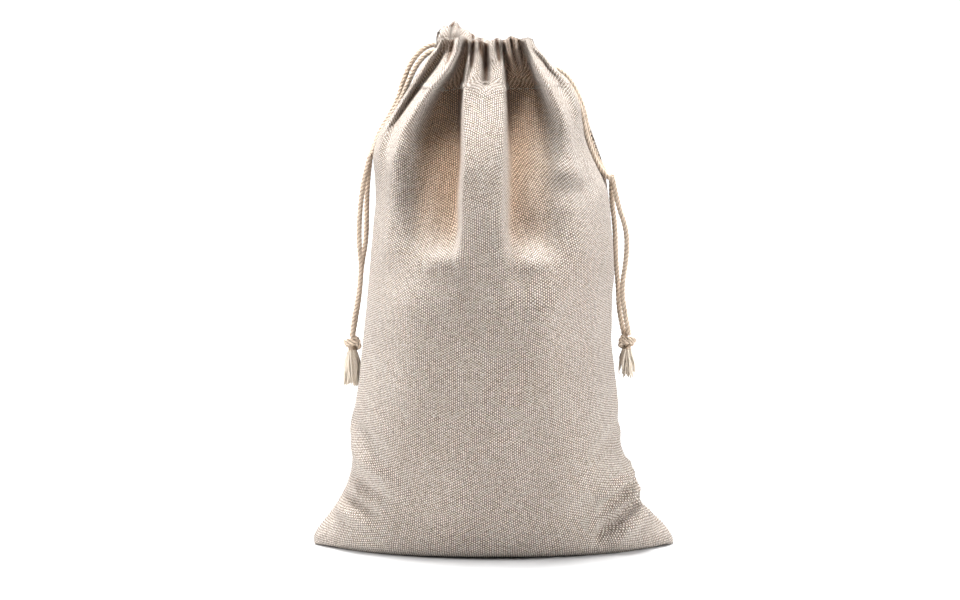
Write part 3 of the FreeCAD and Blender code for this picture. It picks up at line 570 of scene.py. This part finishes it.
def section(face, z):
    """One face's folded cross-section at height z: dense x and depth from the left edge to the right edge, and how far
    in the folds go."""
    left, right = -smooth_table(z, EDGE[face, 0]), smooth_table(z, EDGE[face, 1])
    b = smooth_table(z, DEPTH, 4.0) if z > 14 else smooth_table(z, DEPTH, 0.8 + 0.23 * z)
    phi = np.linspace(-math.pi / 2, math.pi / 2, 901)
    mid = (left + right) * 0.5
    half = (right - left) * 0.5
    x = mid + half * np.sin(phi)
    gap = smooth_table(z, GAP) if z > 149 else 0.0
    gap *= min(1.0, max(0.0, (z - 149) / 8))
    if face == 1:  # the back flap's right edge curls forward round the cord
        curl = max(0.0, math.sin(math.pi * min(1.0, max(0.0, (z - 155) / 31)))) ** 0.7
        gap = gap - (gap + 1.6) * curl * np.clip((phi - 1.15) / 0.42, 0, 1) ** 2
        x = x - 1.3 * curl * np.clip((phi - 1.32) / 0.25, 0, 1) ** 1.5
    base = gap + (b - gap) * np.cos(phi) ** smooth_table(z, POINTED, 6.0)
    down = float(down_of(z, b))
    xu = x / 0.41 + 493
    knots, offs = [xu[0]], [0.0]
    for places, outs in FOLDS[face]:
        knots.append(float(np.interp(down, ROWS, places)))
        offs.append(float(np.interp(down, ROWS, outs)))
    knots.append(xu[-1])
    offs.append(0.0)
    knots = np.maximum.accumulate(np.clip(knots, xu[0] + 0.01, xu[-1] - 0.01))
    fine = np.linspace(xu[0], xu[-1], 1201)
    # eased between the lines, so that ridges and valleys are round
    at = np.clip(np.searchsorted(knots, fine, side="right") - 1, 0, len(knots) - 2)
    span = np.maximum(knots[at + 1] - knots[at], 1e-6)
    f = np.clip((fine - knots[at]) / span, 0, 1)
    f = f * f * (3 - 2 * f)
    main = np.array(offs)[at] * (1 - f) + np.array(offs)[at + 1] * f
    small = np.zeros_like(fine)
    for line, width, amount in PLEATS[face]:
        small += line_field(fine, np.full_like(fine, down), line, width, amount)
    edge = np.clip(np.minimum(fine - fine[0], fine[-1] - fine) / 7.0, 0, 1)
    main, small = (np.interp(xu, fine, v * edge) for v in (main, small))
    least = smooth_table(z, LEAST, 3.0) * np.clip(np.cos(phi) * 3, 0, 1) + gap * (1 - np.clip(np.cos(phi) * 3, 0, 1))

    def build(k):
        d = base + main * k
        low = np.minimum(least, base)
        for soft, add in ((1.4, small * k), (0.35, 0.0)):
            d = np.where(d < low + soft, low + soft * np.exp(np.minimum((d - low - soft) / soft, 0)), d) + add
            low = np.minimum(low, 5.0 if z > 150 else low)
        return d

    def length(d):
        return float(np.hypot(np.diff(x), np.diff(d)).sum())

    k = 1.0
    if z > 120:
        lo, hi = 0.85, 1.45
        for _ in range(12):
            k = (lo + hi) / 2
            if length(build(k)) < WIDE:
                lo = k
            else:
                hi = k
        blend = min(1.0, (z - 120) / 30)
        k = 1.0 * (1 - blend) + k * blend
    d = build(k)
    # how far each place sits below the cloth around it, in two sizes: broad valleys and the gaps between small pleats
    even_x = np.linspace(x[0], x[-1], 600)
    even_d = np.interp(even_x, x, d)
    w = max(3, int(3.4 / (even_x[1] - even_x[0])))
    kernel = np.hanning(2 * w + 1)
    around = np.convolve(np.pad(even_d, w, mode="edge"), kernel / kernel.sum(), "valid")
    tight = np.interp(x, even_x, np.clip(around - even_d, 0, None))
    return x, d, np.clip(-(main + np.clip(small, None, 0)) * k, 0, None), tight


def tuft(x, z, face):
    """The rim stands up unevenly, most at the back left."""
    up = np.clip((z - 188) / 20, 0, 1) ** 1.4
    if face == 1:
        return up * (6.6 * np.exp(-(((x + 15.2) / 4.4) ** 2)) + 3.4 * np.exp(-(((x + 20.4) / 3.0) ** 2)) + 1.6 * np.exp(-(((x + 9.0) / 3.0) ** 2)) - 0.6 + 0.5 * np.sin(x * 1.1))
    return up * (0.9 * np.sin(x * 0.95 + 1.0) * 0.6 + 1.1 * np.exp(-(((x + 13.6) / 3.0) ** 2)) + 0.8 * np.exp(-(((x - 8.2) / 4.5) ** 2)) - 1.0 * np.exp(-(((x + 2.5) / 4.0) ** 2)))


def cloth_start():
    """Both faces laid out in their standing shape: array [face, row, column] of x, y, z in mm, and the fold depth."""
    levels = np.concatenate([np.linspace(0, 140, 71), np.linspace(141, 208, 91)])
    share = np.linspace(0, 1, NX + 1)
    G = np.zeros((2, NZ + 1, NX + 1, 3))
    deep = np.zeros((2, NZ + 1, NX + 1))
    gaps = np.zeros((2, NZ + 1, NX + 1))
    for face in (0, 1):
        xs, ds, fs, ts, cs = [], [], [], [], []
        for z in levels:
            x, d, f, tight = section(face, z)
            along = np.concatenate([[0], np.cumsum(np.hypot(np.diff(x), np.diff(d)))])
            cs.append(along / along[-1])
            xs.append(x), ds.append(d), fs.append(f), ts.append(tight)
        # the same threads at every height: shares drift slowly from row to row
        X = np.array([np.interp(share, c, x) for c, x in zip(cs, xs)])
        D = np.array([np.interp(share, c, d) for c, d in zip(cs, ds)])
        F = np.array([np.interp(share, c, f) for c, f in zip(cs, fs)])
        T = np.array([np.interp(share, c, t) for c, t in zip(cs, ts)])
        foot = D[0]
        smooth_d = np.array([np.convolve(np.pad(r, 12, mode="edge"), np.ones(25) / 25, "valid") for r in D])
        step = np.sqrt(np.diff(levels)[:, None] ** 2 + np.diff(smooth_d, axis=0) ** 2)
        wall = np.concatenate([np.zeros((1, NX + 1)), np.cumsum(step, axis=0)])
        total = foot + wall[-1]
        for c in range(NX + 1):
            way = np.linspace(0, total[c], NZ + 1)
            on_foot = way < foot[c]
            z = np.where(on_foot, 0.0, np.interp(way - foot[c], wall[:, c], levels))
            G[face, :, c, 0] = np.where(on_foot, X[0, c], np.interp(z, levels, X[:, c]))
            G[face, :, c, 1] = np.where(on_foot, way, np.interp(z, levels, D[:, c]))
            G[face, :, c, 2] = z
            deep[face, :, c] = np.where(on_foot, 0.0, np.interp(z, levels, F[:, c]))
            gaps[face, :, c] = np.where(on_foot, 0.0, np.interp(z, levels, T[:, c]))
        G[face, ..., 2] += tuft(G[face, ..., 0], G[face, ..., 2], face)
        G[face, ..., 1] *= -1 if face == 0 else 1
    return G, deep, gaps


def relax(G, rounds):
    """Settles the cloth: threads keep their cut length, the bag is blown out gently from inside, stands on the floor,
    is held by the drawn casing, and keeps near the shape that it hangs in."""
    rest_u, rest_v = WIDE / NX, TALL / NZ
    diag = math.hypot(rest_u, rest_v)
    target = G.copy()
    P, last = G.copy(), G.copy()
    rows_left = int(np.searchsorted(target[0, :, 0, 2], SLIT_LEFT))
    rows_right = int(np.searchsorted(target[0, :, -1, 2], SLIT_RIGHT))
    z = target[..., 2]
    hold = np.full(z.shape, 0.022)
    hold += 0.10 * np.clip((z - 135) / 30, 0, 1)
    hold += 0.80 * np.clip((z - 182) / 6, 0, 1)
    seam = np.zeros_like(hold)
    seam[:, :, 0] = seam[:, :, -1] = 1.0
    seam[:, :, 1] = seam[:, :, -2] = 0.6
    seam[:, :, 2] = seam[:, :, -3] = 0.25
    hold += 0.45 * seam
    hold[:, 0, :] = 0.5
    hold = np.clip(hold, 0, 0.95)[..., None]
    noise = rng.normal(size=z.shape) * 0.10
    P[..., 1] += noise * np.clip(np.abs(P[..., 1]) / 4, 0, 1)

    def pull(a, b, rest, stiff, slack=0.0):
        d = P[b] - P[a]
        n = np.linalg.norm(d, axis=-1, keepdims=True) + 1e-9
        s = n - rest
        if slack:
            s = np.where(s < 0, s * slack, s)
        move = d / n * s * (0.5 * stiff)
        P[a] += move
        P[b] -= move

    sl = slice
    al = sl(None)

    def spans(length, gap):
        """Index pairs that share no point: starts at 0, gap and so on."""
        out = []
        for first in range(2 * gap):
            a = np.arange(first, length - gap, 2 * gap)
            if len(a):
                out.append((a, a + gap))
        return out

    across = spans(NX + 1, 1)
    along = spans(NZ + 1, 1)
    across2 = spans(NX + 1, 2)
    along2 = spans(NZ + 1, 2)
    signs = np.array([-1.0, 1.0])[:, None, None]
    for n in range(rounds):
        v = (P - last) * 0.86
        last = P.copy()
        P += v
        # inside pressure along the normals
        du = np.gradient(P, axis=2)
        dv = np.gradient(P, axis=1)
        nrm = np.cross(du, dv) * np.array([1.0, -1.0])[:, None, None, None]
        size = np.linalg.norm(nrm, axis=-1, keepdims=True) + 1e-9
        press = 0.030 * np.clip(1.0 - (z - 120) / 60, 0.05, 1.0)[..., None]
        P += nrm / size * press
        P[..., 2] -= 0.004
        for _ in range(3):
            for a, b in across:
                pull((al, al, a), (al, al, b), rest_u, 1.0)
            for a, b in along:
                pull((al, a), (al, b), rest_v, 1.0)
            for a, b in across:
                for c, d in along:
                    ca, cb = np.ix_(c, a), np.ix_(d, b)
                    pull((al, *ca), (al, *cb), diag, 0.25)
                    ca, cb = np.ix_(c, b), np.ix_(d, a)
                    pull((al, *ca), (al, *cb), diag, 0.25)
            for a, b in across2:
                pull((al, al, a), (al, al, b), 2 * rest_u, 0.10)
            for a, b in along2:
                pull((al, a), (al, b), 2 * rest_v, 0.14)
        P += (target - P) * hold
        # seams, base fold, floor, and each face on its own side
        P[..., 1] = np.where(signs < 0, np.minimum(P[..., 1], 0.0), np.maximum(P[..., 1], 0.0))
        free = np.zeros((NZ + 1, NX + 1), bool)
        free[rows_left:, :6] = True
        free[rows_right:, -6:] = True
        P[0, free, 1] = np.minimum(P[0, free, 1], -0.5)
        P[1, free, 1] = np.maximum(P[1, free, 1], 0.5)
        for rows, col in ((rows_left, 0), (rows_right, NX)):
            m = (P[0, :rows, col] + P[1, :rows, col]) / 2
            m[:, 1] = 0.0
            P[0, :rows, col] = P[1, :rows, col] = m
        m = (P[0, 0] + P[1, 0]) / 2
        m[:, 1] = 0.0
        P[0, 0] = P[1, 0] = m
        P[..., 2] = np.maximum(P[..., 2], 0.12)
    # keep the broad wrinkles, drop the ones finer than a few threads
    moved = P - target
    k = np.exp(-0.5 * (np.arange(-6, 7) / 2.4) ** 2)
    k /= k.sum()
    for axis in (1, 2):
        pad = [(0, 0)] * 4
        pad[axis] = (6, 6)
        wide = np.pad(moved, pad, mode='edge')
        moved = sum(w * np.take(wide, np.arange(i, i + moved.shape[axis]), axis=axis) for i, w in enumerate(k))
    P = target + moved
    for rows, col in ((rows_left, 0), (rows_right, NX)):
        m = (P[0, :rows, col] + P[1, :rows, col]) / 2
        m[:, 1] = 0.0
        P[0, :rows, col] = P[1, :rows, col] = m
    m = (P[0, 0] + P[1, 0]) / 2
    m[:, 1] = 0.0
    P[0, 0] = P[1, 0] = m
    return P, rows_left, rows_right


shape, fold_depth, fold_gaps = cloth_start()
settled, rows_left, rows_right = relax(shape, 70)


def press_creases(P, face):
    """Creases and the uneven fill of the lower body, pushed along the cloth's normals."""
    n = outward(P, face)
    x, z = P[..., 0], P[..., 2]
    down = down_of(z, np.abs(P[..., 1]))
    across = x / 0.41 + 493
    push = np.zeros_like(x)
    for line, width, amount in CREASES[face]:
        push += (1.25 if width > 4 else 1.9) * line_field(across, down, line, width, amount)
    for cx, cd, wide, high, amount in SWELLS[face]:
        push += amount * np.exp(-(((across - cx) * 0.41 / wide) ** 2) - ((down - cd) * 0.413 / high) ** 2)
    low = np.clip((150 - z) / 30, 0, 1) * np.clip(z / 12, 0, 1)
    for cx, cz, wide, high in LUMPS[face]:
        push += low * high * np.exp(-(((x - cx) / wide) ** 2) - ((z - cz) / (wide * 1.15)) ** 2)
    col = np.arange(NX + 1)
    edge = np.clip(np.minimum(col, NX - col) / 11.0, 0, 1)[None, :] ** 0.8
    floor_fade = np.clip(z / 2.5, 0, 1)
    P = P + n * (push * edge * floor_fade)[..., None]
    # the small pleats at the drawn casing, pressed in and drawn out once more
    side = -1.0 if face == 0 else 1.0
    tight = np.zeros_like(x)
    for line, width, amount in PLEATS[face]:
        tight += 0.85 * line_field(across, down, line, max(width, 0.8), amount)
    tight *= np.clip((80 - down) / 12, 0, 1)
    out = P[..., 1] * side
    moved = np.where(tight < 0, np.maximum(out + tight * edge, np.minimum(out, 5.3)), out + tight * edge)
    P = P.copy()
    P[..., 1] = moved * side
    return P, np.clip(out - moved, 0, None)


def grid_object(name, P, u0, v0, material, thick, fold=None, gap=None, levels=0):
    """A grid of points (rows upward, columns across) in mm as a smooth sheet with its flat cut in the UV map."""
    nr, nc = P.shape[:2]
    verts = (P.reshape(-1, 3) * MM).tolist()
    faces, uvs = [], []
    us = np.linspace(u0[0], u0[1], nc) * MM
    vs = np.linspace(v0[0], v0[1], nr) * MM
    for r in range(nr - 1):
        for c in range(nc - 1):
            faces.append((r * nc + c, r * nc + c + 1, (r + 1) * nc + c + 1, (r + 1) * nc + c))
            uvs += [us[c], vs[r], us[c + 1], vs[r], us[c + 1], vs[r + 1], us[c], vs[r + 1]]
    ob = mesh_object(name, verts, faces, material)
    layer = ob.data.uv_layers.new(name="flat")
    layer.data.foreach_set("uv", uvs)
    # fold and gap: per-point masks that the cloth material turns into painted shade, in the fold valleys and between
    # the small pleats
    tint = ob.data.attributes.new("fold", "FLOAT", "POINT")
    tint.data.foreach_set("value", (np.zeros(nr * nc) if fold is None else fold.reshape(-1)).astype(np.float32))
    tint = ob.data.attributes.new("gap", "FLOAT", "POINT")
    tint.data.foreach_set("value", (np.zeros(nr * nc) if gap is None else gap.reshape(-1)).astype(np.float32))
    if levels:
        sub = ob.modifiers.new("smooth", "SUBSURF")
        sub.levels = sub.render_levels = levels
        sub.boundary_smooth = "PRESERVE_CORNERS"
        sub.uv_smooth = "NONE"
    if thick:
        solid = ob.modifiers.new("thickness", "SOLIDIFY")
        solid.thickness = thick * MM
        solid.offset = -1.0
        solid.use_even_offset = False
    bake(ob)
    return ob


def bake(ob):
    """Applies the modifiers, so that the piece is a plain mesh."""
    dg = bpy.context.evaluated_depsgraph_get()
    mesh = bpy.data.meshes.new_from_object(ob.evaluated_get(dg), preserve_all_data_layers=True, depsgraph=dg)
    ob.modifiers.clear()
    ob.data = mesh
    mesh.polygons.foreach_set("use_smooth", [True] * len(mesh.polygons))
    mesh.update()


def outward(P, face):
    du, dv = np.gradient(P, axis=1), np.gradient(P, axis=0)
    n = np.cross(du, dv) * (1.0 if face == 0 else -1.0)
    return n / (np.linalg.norm(n, axis=-1, keepdims=True) + 1e-9)


WORD = {0: "front", 1: "back"}


def on_mouth(ob):
    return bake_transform(ob)


for face in (0, 1):
    settled[face], pressed_in = press_creases(settled[face], face)
    # gap mask for painted shade: the tight gaps between pleats, plus how far the casing pleats were pressed in
    fold_gaps[face] = 0.55 * fold_gaps[face] + 1.1 * pressed_in
settled[..., 2] = np.maximum(settled[..., 2], 0.12)

cloths, hems = {}, {}
for face in (0, 1):
    P, F, T = settled[face], np.clip(fold_depth[face] / 13.0, 0, 1), np.clip(fold_gaps[face] / 2.6, 0, 1)
    if face == 1:
        P, F, T = P[:, ::-1], F[:, ::-1], T[:, ::-1]  # so that the normals point out
    ob = grid_object(WORD[face] + "_cloth", P, (0.0, WIDE) if face == 0 else (WIDE, 0.0), (0.0, TALL), CLOTH, 0.62, fold=F, gap=T)
    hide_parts(WORD[face] + "_panel", WORD[face] + "_flap")
    cloths[face] = ob

# the hem: the cloth turned over at the rim and brought down inside the cord, to the stitch line
rows = int(round(CASING / (TALL / NZ)))
for face in (0, 1):
    P = settled[face]
    side = -1.0 if face == 0 else 1.0
    inner = [P[-1] + np.array([0.0, -0.05 * side, 0.05])]
    for k in range(0, rows + 1):
        line = P[NZ - k].copy()
        out = line[:, 1] * side
        inside = 1.60 - 0.06 * np.clip(out - 5.0, 0.0, 8.0)
        close = out - 0.95
        f = min(1.0, max(0.0, (k - 0.0) / 2.2))
        g = min(1.0, max(0.0, (k - (rows - 4)) / 3.0))
        f, g = f * f * (3 - 2 * f), g * g * (3 - 2 * g)
        depth = close * (1 - f) + inside * f
        depth = depth * (1 - g) + close * g
        line[:, 1] = depth * side
        line[:, 2] += 0.30 if k == 0 else 0.0
        inner.append(line)
    inner = np.array(inner)
    if face == 1:
        inner = inner[:, ::-1]
    ob = grid_object(WORD[face] + "_hem", inner, (0.0, WIDE) if face == 0 else (WIDE, 0.0), (TALL, TALL + CASING + 1.5), HEM, 0.45)
    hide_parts(WORD[face] + "_casing")
    hems[face] = ob

# ---------------------------------------------------------------- seam allowances and stitching
def sample(P, u, v):
    """Point on a face at flat-cut place u across, v up (mm), from its grid."""
    c = np.clip(u / WIDE * NX, 0, NX - 1e-6)
    r = np.clip(v / TALL * NZ, 0, NZ - 1e-6)
    c0, r0 = int(c), int(r)
    a, b = c - c0, r - r0
    return (
        P[r0, c0] * (1 - a) * (1 - b) + P[r0, c0 + 1] * a * (1 - b) + P[r0 + 1, c0] * (1 - a) * b + P[r0 + 1, c0 + 1] * a * b
    )


def stitches(name, pieces, radius=0.19):
    verts, faces, uvs = [], [], []
    for a, b in pieces:
        a, b = np.array(a), np.array(b)
        mid = (a + b) / 2
        line = np.array([a, a * 0.75 + b * 0.25, mid, a * 0.25 + b * 0.75, b]) * MM
        tube_mesh(line, np.array([0.45, 0.95, 1.0, 0.95, 0.45]) * radius * MM, 6, verts, faces, uvs)
    return finish_tubes(name, verts, faces, uvs, THREAD)


for side, col, rows in (("left", 0, rows_left), ("right", NX, rows_right)):
    seam = settled[0][:, col]
    rows = rows - 3
    inward = np.array([1.0 if side == "left" else -1.0, 0.0, 0.0])
    reach = np.linspace(0.5, 8.5, 6)
    grid = []
    for r in range(1, rows):
        lean = 0.5 * math.sin(r * 0.21 + (0 if side == "left" else 1.3))
        grid.append([seam[r] + inward * d + np.array([0, lean * d / 8.5, 0.35 * d / 8.5 if r < 3 else 0]) for d in reach])
    grid = np.array(grid)
    strip = grid_object(side + "_allowance", grid, (0.0, 8.0), (0.0, rows * TALL / NZ), HEM, 1.1)
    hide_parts(side + "_seam_allowance")
    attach(strip, "sack")
    pieces = []
    r = 4.0
    while r < rows - 4:
        k, f = int(r), r - int(r)
        a = seam[k] * (1 - f) + seam[k + 1] * f
        r2 = r + 1.15
        k2, f2 = int(r2), r2 - int(r2)
        b = seam[k2] * (1 - f2) + seam[k2 + 1] * f2
        for s in (-1, 1):
            off = inward * 2.2 + np.array([0, s * 0.85, 0])
            pieces.append((a + off, b + off))
        r += 1.75
    thread = stitches(side + "_seam_stitches", pieces)
    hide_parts(side + "_seam_thread")
    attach(thread, "sack")

threads = {}
for face in (0, 1):
    P = settled[face]
    n = outward(P, face)
    pieces = []
    u = 1.5
    while u < WIDE - 3.0:
        a = sample(P, u, TALL - CASING) + sample(n, u, TALL - CASING) * 0.10
        b = sample(P, u + 2.0, TALL - CASING) + sample(n, u + 2.0, TALL - CASING) * 0.10
        pieces.append((a, b))
        u += 2.9
    ob = stitches(WORD[face] + "_casing_stitches", pieces, 0.17)
    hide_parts(WORD[face] + "_casing_thread")
    threads[face] = ob

# ---------------------------------------------------------------- cords
RUNS = {
    "left": [(-16.0, 3.4, 199.0), (0.0, 3.4, 199.0), (14.0, 3.4, 198.8), (18.6, 3.3, 198.4), (21.6, 2.0, 198.2), (21.6, 0.0, 198.2)],
    "right": [(18.0, 3.4, 195.4), (0.0, 3.4, 195.0), (-18.0, 3.4, 195.0), (-23.2, 3.3, 195.0), (-26.4, 2.0, 195.1), (-26.4, 0.0, 195.1)],
}
LEADS = {
    ("left", 0): [(-16.0, -3.4, 199.0), (-20.5, -3.1, 202.4), (-24.6, -2.9, 203.6), (-28.2, -2.8, 201.2), (-31.8, -2.6, 196.2), (-34.6, -2.4, 190.0), (-37.2, -2.2, 183.5), (-41.2, -2.0, 176.8), (-45.8, -1.8, 169.6), (-49.4, -1.6, 161.2)],
    ("left", 1): [(-16.0, 3.4, 199.0), (-19.8, 3.0, 203.8), (-24.0, 2.9, 206.2), (-29.0, 2.8, 203.8), (-33.6, 2.6, 198.2), (-36.6, 2.4, 190.6), (-38.6, 2.2, 183.5), (-42.0, 2.0, 177.0), (-46.4, 1.8, 170.0), (-49.6, 1.6, 161.2)],
    ("right", 0): [(18.0, -3.4, 195.4), (23.5, -3.2, 195.8), (28.4, -2.9, 192.6), (32.4, -2.5, 187.0), (35.9, -2.3, 179.0), (36.7, -2.3, 173.5), (38.9, -2.1, 165.4), (42.4, -1.8, 157.4), (46.0, -1.6, 152.8), (48.5, -1.6, 150.9)],
    ("right", 1): [(18.0, 3.4, 195.4), (24.2, 3.2, 196.6), (29.6, 2.9, 193.6), (33.6, 2.0, 187.6), (36.9, 0.9, 179.8), (37.8, 0.6, 174.0), (39.9, 0.6, 166.0), (43.2, 1.0, 158.0), (46.2, 1.5, 152.9), (48.5, 1.6, 150.9)],
}
STRANDS = {
    ("left", 0): [(-49.8, -1.6, 161.3), (-52.6, -2.0, 151.0), (-54.2, -2.4, 138.8), (-54.7, -2.2, 126.0), (-53.6, -1.9, 114.2), (-54.9, -1.7, 103.0), (-56.9, -1.5, 94.0), (-57.7, -1.3, 86.6)],
    ("left", 1): [(-49.8, 1.6, 161.3), (-51.2, 2.0, 150.6), (-51.6, 2.3, 138.4), (-51.7, 2.1, 126.8), (-53.9, 1.9, 115.0), (-54.6, 1.7, 103.8), (-56.2, 1.5, 94.2), (-57.5, 1.3, 86.6)],
    ("right", 0): [(48.3, -1.6, 152.7), (50.6, -2.2, 141.4), (54.6, -2.5, 130.4), (54.4, -2.3, 118.6), (52.4, -2.1, 106.6), (53.9, -1.8, 96.6), (55.7, -1.3, 87.4)],
    ("right", 1): [(48.3, 1.6, 152.7), (48.2, 2.0, 143.6), (49.9, 2.4, 132.4), (50.2, 2.2, 118.4), (51.4, 1.9, 105.4), (51.6, 1.6, 96.4), (53.8, 1.3, 87.4)],
}


for side in ("left", "right"):
    for face in (0, 1):
        s = -1 if face == 0 else 1
        ob, line = rope("%s_cord_%s" % (side, WORD[face]), [(x, s * y, z) for x, y, z in RUNS[side]], phase=1.0 * face)
        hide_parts("%s_cord_%s_run" % (side, WORD[face]))
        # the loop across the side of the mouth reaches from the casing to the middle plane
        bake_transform(ob)
        ob, line = rope("%s_lead_%s_cord" % (side, WORD[face]), LEADS[side, face], phase=2.0 * face)
        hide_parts("%s_lead_%s" % (side, WORD[face]))
        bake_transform(ob)


def knot_piece(name, centre, flip):
    """An overhand knot in the doubled cord: the two ends side by side, wound once round themselves and tucked through."""
    path = [
        (0.0, 0.0, 4.4), (0.7, -0.7, 2.6), (1.9, -1.9, 1.2), (2.3, -0.4, -0.6), (1.2, 1.9, -1.4), (-1.2, 2.1, -0.9),
        (-2.4, 0.4, 0.2), (-1.7, -1.8, 1.2), (0.4, -2.4, 1.5), (2.2, -1.0, 1.9), (1.4, 1.4, 1.7), (-0.4, 1.2, 0.4), (-0.6, 0.2, -1.8), (-0.1, 0.0, -3.7),
    ]
    verts, faces, uvs, rim = [], [], [], []
    for k, (dx, dz) in enumerate(((-0.62, 0.6), (0.62, -0.6))):
        pts = [(centre[0] + flip * (x * 1.18 + dx * 0.6), centre[1] + y * 1.1 + dz * 0.25, centre[2] + z * 0.94 + dz) for x, y, z in path]
        line, _ = even(spline_points(pts), 0.36 * MM)
        plies, ply = rope_lines(line, 0.98 * MM, 5.0 * MM, phase=k)
        for q, p in enumerate(plies):
            first = len(verts)
            tube_mesh(p, ply * 1.05, 8, verts, faces, uvs, v0=11.0 * q + 5 * k)
            rim += [float(np.linalg.norm(v - line[i // 8])) / (0.98 * MM) for i, v in enumerate(verts[first:])]
    return finish_tubes(name, verts, faces, uvs, CORD, rim)


def tassel_piece(name, top, long, wide, count, seed, ragged):
    """The untwisted yarn ends below a knot."""
    r = random.Random(seed)
    verts, faces, uvs, rim = [], [], [], []
    for k in range(count):
        a = 2 * math.pi * (k + r.random() * 0.6) / count
        core = math.sqrt(r.random())
        x0, y0 = 1.7 * core * math.cos(a), 1.7 * core * math.sin(a)
        far = wide * (0.25 + 0.75 * core)
        reach = long * (1.0 - ragged * r.random() ** 1.6)
        bend = r.uniform(-0.6, 0.6)
        turn = r.uniform(-0.5, 0.5)
        pts = []
        for q in range(7):
            f = q / 6
            spread = 1.7 * core + (far - 1.7 * core) * min(1.0, 1.25 * math.sin(1.9 * f)) ** 0.8 * (1.0 - 0.12 * f)
            ang = a + turn * f
            wob = 0.28 * math.sin(f * 7 + k) * f
            pts.append((top[0] + spread * math.cos(ang) + wob + bend * f * f, top[1] + spread * math.sin(ang) * 0.85 + wob * 0.6, top[2] - reach * f))
        pts[0] = (top[0] + x0, top[1] + y0, top[2] + 0.8)
        line, _ = even(spline_points(pts), 0.8 * MM)
        n = len(line)
        girth = 0.36 * (0.8 + 0.4 * r.random())
        radius = girth * MM * np.interp(np.linspace(0, 1, n), [0, 0.6, 0.93, 1], [1.0, 1.0, 0.8, 0.4])
        first = len(verts)
        tube_mesh(line, radius, 8, verts, faces, uvs, v0=3.0 * k)
        for i, v in enumerate(verts[first:]):
            c = line[min(i // 8, n - 1)]
            away = np.array([c[0] - top[0] * MM, c[1] - top[1] * MM, 0.0])
            size = float(np.linalg.norm(away))
            turned = float(np.dot(np.array(v) - c, away)) / (size * girth * MM + 1e-12)
            # painted shade: yarns deep in the bundle, and the side of each yarn turned towards the bundle's middle, get
            # a lower rim and so a darker colour
            rim.append(0.90 + 0.17 * turned - 0.20 * max(0.0, 0.55 - core))
    return finish_tubes(name, verts, faces, uvs, YARN, rim)


KNOT = {"left": (-57.6, 0.0, 83.45), "right": (54.9, 0.0, 84.05)}
TASSEL = {"left": (14.2, 3.7, 62, 0.24), "right": (11.6, 3.1, 40, 0.5)}
for side in ("left", "right"):
    k = KNOT[side]
    knot = knot_piece(side + "_overhand_knot", k, 1 if side == "left" else -1)
    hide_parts(side + "_knot")
    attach(knot, side + "_end")
    long, wide, count, ragged = TASSEL[side]
    tassel = tassel_piece(side + "_frayed_tassel", (k[0], k[1], k[2] - 3.2), long, wide, count, 5 if side == "left" else 9, ragged)
    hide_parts(side + "_tassel")
    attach(tassel, side + "_end")
    for face in (0, 1):
        pts = STRANDS[(side, face)]
        ob, line = rope("%s_strand_%s_cord" % (side, WORD[face]), pts, phase=0.7 + face)
        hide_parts("%s_strand_%s" % (side, WORD[face]))
        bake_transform(ob)

# ---------------------------------------------------------------- the cloth, hems and casing stitches, with their placement baked into their meshes
for face in (0, 1):
    for ob in (cloths[face], hems[face], threads[face]):
        on_mouth(ob)
